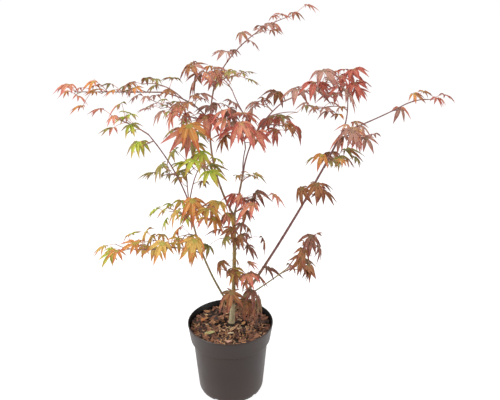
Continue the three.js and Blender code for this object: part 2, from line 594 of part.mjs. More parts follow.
// Add one leaf to a twig: a three-sided stalk out of one of its faces, and a thin lens
// of a blade round its hub
function addLeaf(twig, shares, leaf) {
  const half = BLADE_THICKNESS / 2;
  const rim = bladeOutline(leaf.length).map(([x, y]) => bend(leaf, x, y));
  const along = leaf.hub.clone().sub(leaf.node).normalize();
  const across = leaf.side.clone().addScaledVector(along, -leaf.side.dot(along)).normalize();
  const over = along.clone().cross(across);
  const corners = takeFace(twig, shares, leaf);
  const [left, low, right] = leastTwist(corners, twig.points, across, over);
  const first = twig.points.length;
  const last = first + rim.length - 1;
  const [top, bottom] = [last + 1, last + 2];
  twig.points.push(
    ...rim,
    leaf.hub.clone().addScaledVector(leaf.above, half),
    leaf.hub.clone().addScaledVector(leaf.above, -half),
  );
  const face = (a, b, c) => twig.triangles.push({ ring: -1, corners: [a, b, c] });
  const quad = (a, b, c, d) => [face(a, b, c), face(a, c, d)];
  face(top, last, first);
  for (let i = first; i < last; i += 1) {
    face(top, i, i + 1);
    face(bottom, i + 1, i);
  }
  quad(first, last, right, left);
  quad(bottom, first, left, low);
  quad(last, bottom, low, right);
}

// Room already taken by limbs and twigs, as points with a radius along each curve
function pointsAlong(curve, radii, from = 0) {
  const steps = Math.max(2, Math.floor(curve.getLength() / TWIG_STEP));
  return Array.from({ length: steps + 1 }, (_, i) => ({
    at: curve.getPoint(from + ((1 - from) * i) / steps),
    radius: radii[0] + ((radii[1] - radii[0]) * i) / steps,
  }));
}

// Every mass of foliage, grown one after the other
function makeMasses(limbs) {
  const limbRoom = [...limbs.values()].flatMap((limb) => pointsAlong(limb.curve, limb.radii));
  const masses = MASSES.map((plan) => {
    const root = limbs.get(plan.from).curve.getPoint(plan.at);
    const curve = makeCurve(root, plan.tip, plan.bow);
    return { ...plan, curve, room: pointsAlong(curve, [1.2, 1.2], SEAT_SHARE) };
  });
  const grown = [];
  for (const mass of masses) {
    const twigRoom = masses.filter((other) => other !== mass).flatMap((other) => other.room);
    const { leaves, own } = growLeaves(mass, [...limbRoom, ...twigRoom], grown);
    grown.push(...own);
    mass.solid = massSolid(mass, leaves, limbs);
  }
  return masses;
}

// Twig and leaves as one closed body, cut clear of the limbs that the twig starts in
function massSolid(mass, leaves, limbs) {
  const shares = ringShares(mass, leaves);
  const twig = twigMesh(mass.curve, shares);
  for (const leaf of leaves) addLeaf(twig, shares, leaf);
  const geometry = new THREE.BufferGeometry().setFromPoints(twig.points);
  geometry.setIndex(twig.triangles.flatMap((triangle) => triangle.corners));
  let solid = toSolid(geometry);
  for (const limb of limbs.values()) {
    if (boxesMeet(solid, limb.grown)) solid = solid.subtract(limb.grown);
  }
  return largestPiece(solid);
}

const plant = new THREE.Group();
plant.add(piece('pot', toGeometry(makePot()), '#4a4443', 0.45));
plant.add(piece('soil', toGeometry(makeSoil()), '#5d4434', 0.95));
const limbs = makeLimbs();
for (const limb of limbs.values()) plant.add(piece(limb.name, toGeometry(limb.solid), limb.color));
for (const mass of makeMasses(limbs)) plant.add(piece(mass.name, toGeometry(mass.solid), mass.color));

export default plant;
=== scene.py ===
"""A young patio maple in its nursery pot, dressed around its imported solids.

The growth rule, the limbs and the masses repeat those of the part's source, in millimetres;
meshes are made in metres, +Z up, with the viewer on the -Y side.
"""
import json
import logging
import math
from contextlib import contextmanager
from dataclasses import dataclass, field, replace
from enum import Enum, IntEnum
from typing import Iterator, Sequence

import bpy
import numpy as np
from mathutils import Euler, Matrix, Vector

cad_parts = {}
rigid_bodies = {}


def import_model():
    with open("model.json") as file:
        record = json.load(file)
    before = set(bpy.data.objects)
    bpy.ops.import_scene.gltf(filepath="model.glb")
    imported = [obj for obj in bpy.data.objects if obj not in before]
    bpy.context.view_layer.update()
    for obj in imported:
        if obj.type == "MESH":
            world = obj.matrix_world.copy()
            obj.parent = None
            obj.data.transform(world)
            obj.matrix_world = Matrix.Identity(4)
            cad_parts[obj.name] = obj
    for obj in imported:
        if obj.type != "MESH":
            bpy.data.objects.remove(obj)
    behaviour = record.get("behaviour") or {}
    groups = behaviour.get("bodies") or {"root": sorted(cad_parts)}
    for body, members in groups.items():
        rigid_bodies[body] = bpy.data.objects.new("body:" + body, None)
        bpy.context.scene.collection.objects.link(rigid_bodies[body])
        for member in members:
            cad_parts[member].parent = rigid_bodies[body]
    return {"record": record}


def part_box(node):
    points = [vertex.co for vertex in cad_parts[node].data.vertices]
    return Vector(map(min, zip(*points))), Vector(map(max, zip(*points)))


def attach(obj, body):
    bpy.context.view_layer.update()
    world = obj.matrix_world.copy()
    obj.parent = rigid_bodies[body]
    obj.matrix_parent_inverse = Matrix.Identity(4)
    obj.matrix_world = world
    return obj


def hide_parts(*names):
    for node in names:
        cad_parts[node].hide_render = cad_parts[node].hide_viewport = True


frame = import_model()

logging.basicConfig(level=logging.INFO, format="%(message)s")
LOG = logging.getLogger("maple")
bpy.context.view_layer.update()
MM = 0.001
UP = np.array([0.0, 0.0, 1.0])
WHITE = (1.0, 1.0, 1.0, 1.0)


def deselect_all() -> None:
    """Deselect every object, because an operator acts on all that is selected."""
    bpy.ops.object.select_all(action="DESELECT")


def linear(code: str) -> tuple[float, float, float, float]:
    """Turn a colour such as "c8695a" into the linear values that a shader takes.

    Args:
        code: Six hex digits, as on a screen.

    Returns:
        Red, green, blue and a full alpha.
    """
    parts = [int(code[k:k + 2], 16) / 255 for k in (0, 2, 4)]
    red, green, blue = (c / 12.92 if c <= 0.04045 else ((c + 0.055) / 1.055) ** 2.4 for c in parts)
    return (red, green, blue, 1.0)


def apply_modifiers(piece: bpy.types.Object) -> None:
    """Apply every modifier of a piece, in order."""
    bpy.context.view_layer.objects.active = piece
    for modifier in list(piece.modifiers):
        bpy.ops.object.modifier_apply(modifier=modifier.name)


def select_only(piece: bpy.types.Object) -> None:
    """Select one piece and make it the active one."""
    deselect_all()
    piece.select_set(True)
    bpy.context.view_layer.objects.active = piece


@contextmanager
def mesh_edit() -> Iterator[None]:
    """Edit the whole active mesh, and turn its faces outwards when that is done."""
    bpy.ops.object.mode_set(mode="EDIT")
    bpy.ops.mesh.select_all(action="SELECT")
    yield
    bpy.ops.mesh.select_all(action="SELECT")
    bpy.ops.mesh.normals_make_consistent(inside=False)
    bpy.ops.object.mode_set(mode="OBJECT")


def unit(run: np.ndarray) -> np.ndarray:
    """A direction brought to length 1."""
    return run / np.linalg.norm(run)


def tapered(radii: Sequence[float], share: float | np.ndarray) -> float | np.ndarray:
    """The radius at a share of the way from a root to its tip."""
    return radii[0] + (radii[1] - radii[0]) * share


class Shader:
    """One material's node tree, with the few steps that the finishes share."""

    def __init__(self, name: str, roughness: float) -> None:
        """Start a material with a principled shader.

        Args:
            name: The material's name.
            roughness: Roughness that is the same all over.
        """
        self.material = bpy.data.materials.new(name)
        self.material.use_nodes = True
        self.nodes = self.material.node_tree.nodes
        self.links = self.material.node_tree.links
        self.base = self.nodes["Principled BSDF"]
        self.base.inputs["Roughness"].default_value = roughness

    def place(self, scale: Sequence[float] = (1.0, 1.0, 1.0)) -> bpy.types.NodeSocket:
        """Object coordinates, in metres, stretched by a scale.

        Args:
            scale: Factor for each axis.

        Returns:
            The vector output of the mapping.
        """
        coordinates = self.nodes.new("ShaderNodeTexCoord")
        mapping = self.nodes.new("ShaderNodeMapping")
        mapping.inputs["Scale"].default_value = scale
        self.links.new(coordinates.outputs["Object"], mapping.inputs["Vector"])
        return mapping.outputs["Vector"]

    def noise(self, where: bpy.types.NodeSocket, scale: float, detail: float = 4.0) -> bpy.types.NodeSocket:
        """Cloudy noise from 0 to 1."""
        noise = self.nodes.new("ShaderNodeTexNoise")
        noise.inputs["Scale"].default_value = scale
        noise.inputs["Detail"].default_value = detail
        self.links.new(where, noise.inputs["Vector"])
        return noise.outputs["Fac"]

    def dots(self, where: bpy.types.NodeSocket, scale: float) -> bpy.types.NodeSocket:
        """Distance to the nearest of many scattered points."""
        cells = self.nodes.new("ShaderNodeTexVoronoi")
        cells.inputs["Scale"].default_value = scale
        self.links.new(where, cells.inputs["Vector"])
        return cells.outputs["Distance"]

    def ramp(self, value: bpy.types.NodeSocket, stops: Sequence[tuple[float, str]]) -> bpy.types.NodeSocket:
        """Colours along a value.

        Args:
            value: The value to read.
            stops: Pairs of place and hex colour, in order.

        Returns:
            The colour output.
        """
        ramp = self.nodes.new("ShaderNodeValToRGB")
        elements = ramp.color_ramp.elements
        while len(elements) < len(stops):
            elements.new(0.5)
        for element, (place, code) in zip(elements, stops):
            element.position = place
            element.color = linear(code)
        self.links.new(value, ramp.inputs["Fac"])
        return ramp.outputs["Color"]

    def plain(self, code: str) -> bpy.types.NodeSocket:
        """One colour, the same all over."""
        plain = self.nodes.new("ShaderNodeRGB")
        plain.outputs["Color"].default_value = linear(code)
        return plain.outputs["Color"]

    def spread(self, value: bpy.types.NodeSocket, low: float, high: float,
               to_low: float = 0.0, to_high: float = 1.0) -> bpy.types.NodeSocket:
        """Map a value from one range to another, held at its ends."""
        spread = self.nodes.new("ShaderNodeMapRange")
        for name, number in (("From Min", low), ("From Max", high), ("To Min", to_low), ("To Max", to_high)):
            spread.inputs[name].default_value = number
        self.links.new(value, spread.inputs["Value"])
        return spread.outputs["Result"]

    def height(self, where: bpy.types.NodeSocket) -> bpy.types.NodeSocket:
        """The Z of a place."""
        split = self.nodes.new("ShaderNodeSeparateXYZ")
        self.links.new(where, split.inputs["Vector"])
        return split.outputs["Z"]

    def mix(self, share: bpy.types.NodeSocket, one: bpy.types.NodeSocket,
            other: bpy.types.NodeSocket) -> bpy.types.NodeSocket:
        """Mix two colours by a share."""
        mix = self.nodes.new("ShaderNodeMix")
        mix.data_type = "RGBA"
        self.links.new(share, mix.inputs["Factor"])
        self.links.new(one, mix.inputs["A"])
        self.links.new(other, mix.inputs["B"])
        return mix.outputs["Result"]

    def bump(self, value: bpy.types.NodeSocket, depth: float) -> None:
        """Raise the surface by a value.

        Args:
            value: Height from 0 to 1.
            depth: Height in metres that 1 stands for.
        """
        bump = self.nodes.new("ShaderNodeBump")
        bump.inputs["Distance"].default_value = depth
        self.links.new(value, bump.inputs["Height"])
        self.links.new(bump.outputs["Normal"], self.base.inputs["Normal"])

    def color(self, value: bpy.types.NodeSocket) -> None:
        """Use a colour output as the base colour."""
        self.links.new(value, self.base.inputs["Base Color"])

    def roughness(self, value: bpy.types.NodeSocket) -> None:
        """Use a value as the roughness."""
        self.links.new(value, self.base.inputs["Roughness"])


@dataclass(frozen=True)
class PotPlastic:
    """Matt moulded plastic, dark warm brown-grey, a little dusty at its foot."""

    name: str
    dark: str
    pale: str
    dust: str
    shine: float
    rough: tuple[float, float] = (0.36, 0.5)
    grain: float = 900.0
    grain_depth: float = 0.00006
    cloud: float = 16.0
    dust_height: float = 0.06
    dust_share: tuple[float, float] = (0.3, 0.02)

    def material(self) -> bpy.types.Material:
        """Make the material."""
        shader = Shader(self.name, self.rough[0])
        shader.base.inputs["Specular IOR Level"].default_value = self.shine
        place = shader.place()
        cloud = shader.noise(place, self.cloud, 6.0)
        clean = shader.ramp(cloud, [(0.35, self.dark), (0.7, self.pale)])
        low = shader.spread(shader.height(place), 0.0, self.dust_height, *self.dust_share)
        shader.color(shader.mix(low, clean, shader.plain(self.dust)))
        shader.roughness(shader.spread(cloud, 0.3, 0.7, *self.rough))
        shader.bump(shader.noise(place, self.grain, 2.0), self.grain_depth)
        return shader.material


@dataclass(frozen=True)
class Humus:
    """Dark crumbly mix between the bark chips."""

    dark: str = "1a120d"
    pale: str = "3b281c"
    rough: float = 0.95
    crumb: float = 260.0
    crumb_depth: float = 0.0012

    def material(self) -> bpy.types.Material:
        """Make the material."""
        shader = Shader("humus", self.rough)
        crumbs = shader.noise(shader.place(), self.crumb, 8.0)
        shader.color(shader.ramp(crumbs, [(0.35, self.dark), (0.75, self.pale)]))
        shader.bump(crumbs, self.crumb_depth)
        return shader.material


@dataclass(frozen=True)
class Bark:
    """Smooth young bark: a colour low down, another higher up, streaks and pale pores."""

    name: str
    low: tuple[str, str]
    high: tuple[str, str]
    pores: str
    turn_at: tuple[float, float]
    rough: float = 0.62
    streak: float = 420.0
    streak_stretch: float = 0.16
    streak_depth: float = 0.0002
    pore: float = 330.0
    pore_stretch: float = 0.55
    pore_share: float = 0.75

    def material(self) -> bpy.types.Material:
        """Make the material."""
        shader = Shader(self.name, self.rough)
        streaks = shader.noise(shader.place((1.0, 1.0, self.streak_stretch)), self.streak, 5.0)
        below, above = (shader.ramp(streaks, [(0.3, dark), (0.7, pale)])
                        for dark, pale in (self.low, self.high))
        rise = shader.spread(shader.height(shader.place()), *self.turn_at)
        dots = shader.dots(shader.place((1.0, 1.0, self.pore_stretch)), self.pore)
        spots = shader.spread(dots, 0.16, 0.24, self.pore_share, 0.0)
        shader.color(shader.mix(spots, shader.mix(rise, below, above), shader.plain(self.pores)))
        shader.bump(streaks, self.streak_depth)
        return shader.material


@dataclass(frozen=True)
class PlainTint:
    """One plain colour of a thing too small for a pattern, such as a leaf or a chip."""

    name: str
    code: str
    rough: float = 0.5
    shine: float = 0.5

    def material(self) -> bpy.types.Material:
        """Make the material, once."""
        made = bpy.data.materials.get(self.name)
        if made:
            return made
        shader = Shader(self.name, self.rough)
        shader.base.inputs["Base Color"].default_value = linear(self.code)
        shader.base.inputs["Specular IOR Level"].default_value = self.shine
        return shader.material


@dataclass(frozen=True)
class StudioPaper:
    """Lit white paper: it gives back a little of the light and glows for the rest."""

    name: str
    code: str
    glow: float

    def material(self) -> bpy.types.Material:
        """Make the material."""
        shader = Shader(self.name, 0.95)
        shader.base.inputs["Base Color"].default_value = linear(self.code)
        shader.base.inputs["Specular IOR Level"].default_value = 0.0
        shader.base.inputs["Emission Color"].default_value = WHITE
        shader.base.inputs["Emission Strength"].default_value = self.glow
        return shader.material


@dataclass(frozen=True)
class LeafTint:
    """The colours of one leaf: round its hub, its blade, the tips of its lobes and its ribs."""

    heart: str
    blade: str
    tip: str
    rib: str


class Autumn(Enum):
    """The turning colours that the leaves take."""

    CRIMSON = LeafTint("86583a", "94483a", "8a3c30", "a2624e")
    CORAL = LeafTint("9a7048", "ac6c54", "a2544a", "b88468")
    PEACH = LeafTint("a08858", "b08c6c", "a46c54", "bc9a78")
    ORANGE = LeafTint("94803a", "ac7036", "a0522e", "b88a50")
    AMBER = LeafTint("948840", "ac8842", "a46632", "b89a54")
    LIME = LeafTint("80922e", "92962e", "987e32", "a2a848")
    OLIVE = LeafTint("686a36", "7c7036", "7a5a36", "8c824e")
    BRONZE = LeafTint("5c5630", "664a2e", "5e3a28", "7c6242")
    RUSTY = LeafTint("745a36", "80502f", "703a28", "926a46")
    MAUVE = LeafTint("7c5e4c", "90685a", "824e46", "a07a68")
    DUSKY = LeafTint("5e4834", "704638", "602e26", "805c46")


@dataclass(frozen=True)
class Hang:
    """How leaves are held: their size against the solid's, their fall, roll, arch and closeness."""

    size: float
    fall: float
    fall_swing: float
    roll: float
    arch: float
    close: tuple[float, float]


class Habit(Enum):
    """The ways in which a spray holds its leaves."""

    SLIGHT = Hang(0.66, 9.0, 16.0, 18.0, 0.36, (0.8, 1.0))
    LEVEL = Hang(0.78, 10.0, 18.0, 20.0, 0.38, (0.85, 1.0))
    ARCHING = Hang(0.84, 20.0, 20.0, 24.0, 0.4, (0.78, 1.0))
    HANGING = Hang(0.84, 34.0, 22.0, 28.0, 0.44, (0.66, 0.94))
    BROAD = Hang(0.93, 20.0, 24.0, 28.0, 0.4, (0.72, 0.98))
    STEEP = Hang(0.94, 50.0, 14.0, 16.0, 0.26, (0.7, 0.96))


class Part(IntEnum):
    """The parts of a blade that have a tint of their own."""

    HEART = 0
    BLADE = 1
    TIP = 2
    RIB = 3


class Girth(Enum):
    """How finely a round thing is modelled, as sides round it."""

    LIMB = 12
    TWIG = 7
    STALK = 5


class Draws:
    """The seeded numbers of the growth rule."""

    def __init__(self, seed: int) -> None:
        """Start from a seed and pass over the first few numbers."""
        self.state = seed
        for _ in range(4):
            self.next()

    def next(self) -> float:
        """The next number from 0 to 1."""
        self.state = (self.state * 1664525 + 1013904223) % 4294967296
        return self.state / 4294967296

    def swing(self, size: float) -> float:
        """The next number from -size to size."""
        return (self.next() * 2 - 1) * size

    def lean(self, sizes: Sequence[float]) -> np.ndarray:
        """A step to one side, with a swing along each axis."""
        return np.array([self.swing(size) for size in sizes])


class Bow:
    """A curve from a root to a tip, bowed at its middle."""

    ROOM_STEP = 5

    def __init__(self, root: np.ndarray, tip: Sequence[float], bow: Sequence[float]) -> None:
        """Set the curve's three points.

        Args:
            root: Where it starts, in millimetres.
            tip: Where it ends.
            bow: How far its middle stands off the straight line.
        """
        self.root = root
        self.tip = np.array(tip, float)
        self.control = (root + self.tip) / 2 + 2 * np.array(bow, float)

    def point(self, share: float | np.ndarray) -> np.ndarray:
        """The point, or points, at a share of the curve."""
        t = np.asarray(share, float)[..., None]
        return (1 - t) ** 2 * self.root + 2 * t * (1 - t) * self.control + t ** 2 * self.tip

    def tangent(self, share: float) -> np.ndarray:
        """The direction at a share of the curve."""
        step = 1e-4
        return unit(self.point(min(1.0, share + step)) - self.point(max(0.0, share - step)))

    def length(self) -> float:
        """The curve's length in millimetres."""
        points = self.point(np.linspace(0, 1, 201))
        return float(np.linalg.norm(np.diff(points, axis=0), axis=1).sum())

    def room(self, radii: Sequence[float], start: float = 0.0) -> np.ndarray:
        """Points along the curve, each with the radius taken there.

        Args:
            radii: Radius at the root and at the tip.
            start: Share of the curve to begin at.

        Returns:
            Rows of x, y, z and radius.
        """
        steps = max(2, math.floor(self.length() / self.ROOM_STEP))
        k = np.arange(steps + 1) / steps
        return np.column_stack([self.point(start + (1 - start) * k), tapered(radii, k)])


@dataclass(frozen=True)
class LimbPlan:
    """One limb: the limb it leaves and at what share, its tip, its bow and its radii."""

    name: str
    parent: str
    at: float
    tip: tuple[float, float, float]
    bow: tuple[float, float, float]
    radii: tuple[float, float]


@dataclass(frozen=True)
class MassPlan:
    """One mass of foliage: its twig, its pairs of leaves, its habit, its side shoots and their seed, and
    its colours from foot to tip."""

    name: str
    limb: str
    at: float
    tip: tuple[float, float, float]
    bow: tuple[float, float, float]
    pairs: int
    first: float
    size: float
    droop: float
    seed: int
    habit: Habit
    shoots: int
    budding: int
    spray: tuple[Autumn, ...]

    def shares(self) -> list[float]:
        """Where its pairs stand, as shares of its twig, the last at the tip."""
        return [self.first + (1 - self.first) * i / (self.pairs - 1) for i in range(self.pairs)]


@dataclass
class Leaf:
    """One leaf: where its stalk leaves the twig, its hub, its heading, its size and how it hangs."""

    node: np.ndarray
    hub: np.ndarray
    heading: np.ndarray
    pitch: float
    roll: float
    length: float
    dome: float
    share: float = 0.0
    tint: Autumn = Autumn.RUSTY
    second: Autumn = Autumn.RUSTY
    hinge: float = 1.0

    def __post_init__(self) -> None:
        """Work out the blade's directions."""
        self.hold(self.pitch, self.roll)

    def hold(self, pitch: float, roll: float) -> None:
        """Hold the blade at a pitch below level and a roll about its middle, both in degrees."""
        self.pitch, self.roll = pitch, roll
        p, r = math.radians(pitch), math.radians(roll)
        above = self.heading * math.sin(p) + UP * math.cos(p)
        self.ahead = self.heading * math.cos(p) - UP * math.sin(p)
        side = np.cross(above, self.ahead)
        self.above = above * math.cos(r) + side * math.sin(r)
        self.side = side * math.cos(r) - above * math.sin(r)

    def bend(self, x: np.ndarray, y: np.ndarray, lift: np.ndarray | float = 0.0) -> np.ndarray:
        """Points of the flat blade on the drooping blade, which is straight past its hinge.

        Args:
            x: Distances ahead of the hub.
            y: Distances to its side.
            lift: Distances above the blade.

        Returns:
            The points in space, one row each.
        """
        curl = self.hinge * self.length / self.dome
        out = np.hypot(x, y)
        turn = np.minimum(out / curl, self.dome)
        past = np.maximum(0.0, out - curl * self.dome)
        level = (curl * np.sin(turn) + past * math.cos(self.dome)) / np.maximum(out, 1e-9)
        drop = curl * (1 - np.cos(turn)) + past * math.sin(self.dome)
        return (self.hub + np.multiply.outer(x * level, self.ahead) + np.multiply.outer(y * level, self.side)
                + np.multiply.outer(lift - drop, self.above))


@dataclass
class Shoot:
    """A short side shoot: its root on the twig, its tip, and the leaves there."""

    root: np.ndarray
    tip: np.ndarray
    leaves: list[Leaf]


TRUNK_ROOT = np.array([2.0, 10.0, 156.3])
LIMBS = (
    LimbPlan("trunk", "", 0, (10, 15, 415), (3, 0, 0), (5.1, 3.75)),
    LimbPlan("leader", "trunk", 0.99, (-25, 35, 690), (-26, -17, 2), (2.4, 1.5)),
    LimbPlan("fork_stem", "trunk", 0.99, (30, 0, 515), (1, 0, 1), (2.3, 1.9)),
    LimbPlan("inner_rise", "fork_stem", 0.98, (35, -45, 575), (-2, 0, 0), (1.3, 1.1)),
    LimbPlan("shoulder_bough", "fork_stem", 0.98, (105, -70, 670), (-12, -3, 11), (1.6, 1.1)),
    LimbPlan("back_rise", "shoulder_bough", 0.52, (5, 130, 660), (-4, -3, -1), (1.3, 1)),
    LimbPlan("right_bough", "trunk", 0.09, (240, 70, 585), (9, -1, -1), (3.3, 2)),
    LimbPlan("crest_bough", "right_bough", 1, (255, 120, 625), (2, 0, 0), (1.6, 1.3)),
    LimbPlan("far_right_bough", "right_bough", 0.99, (345, -10, 655), (1, -4, -1), (1.6, 1.1)),
    LimbPlan("left_bough", "trunk", 0.13, (-80, -20, 455), (-13, -16, 4), (2.5, 1.7)),
    LimbPlan("left_outer_bough", "left_bough", 1, (-135, -120, 620), (5, 6, 2), (1.5, 1.1)),
    LimbPlan("arch_bough", "leader", 0.73, (-120, -30, 680), (5, 1, 8), (1.4, 1.1)),
    LimbPlan("low_left_bough", "left_bough", 0.55, (-115, -130, 405), (4, -1, 7), (1.5, 1.1)),
    LimbPlan("low_right_bough", "trunk", 0.18, (120, -90, 345), (3, 8, -6), (1.6, 1.2)),
)

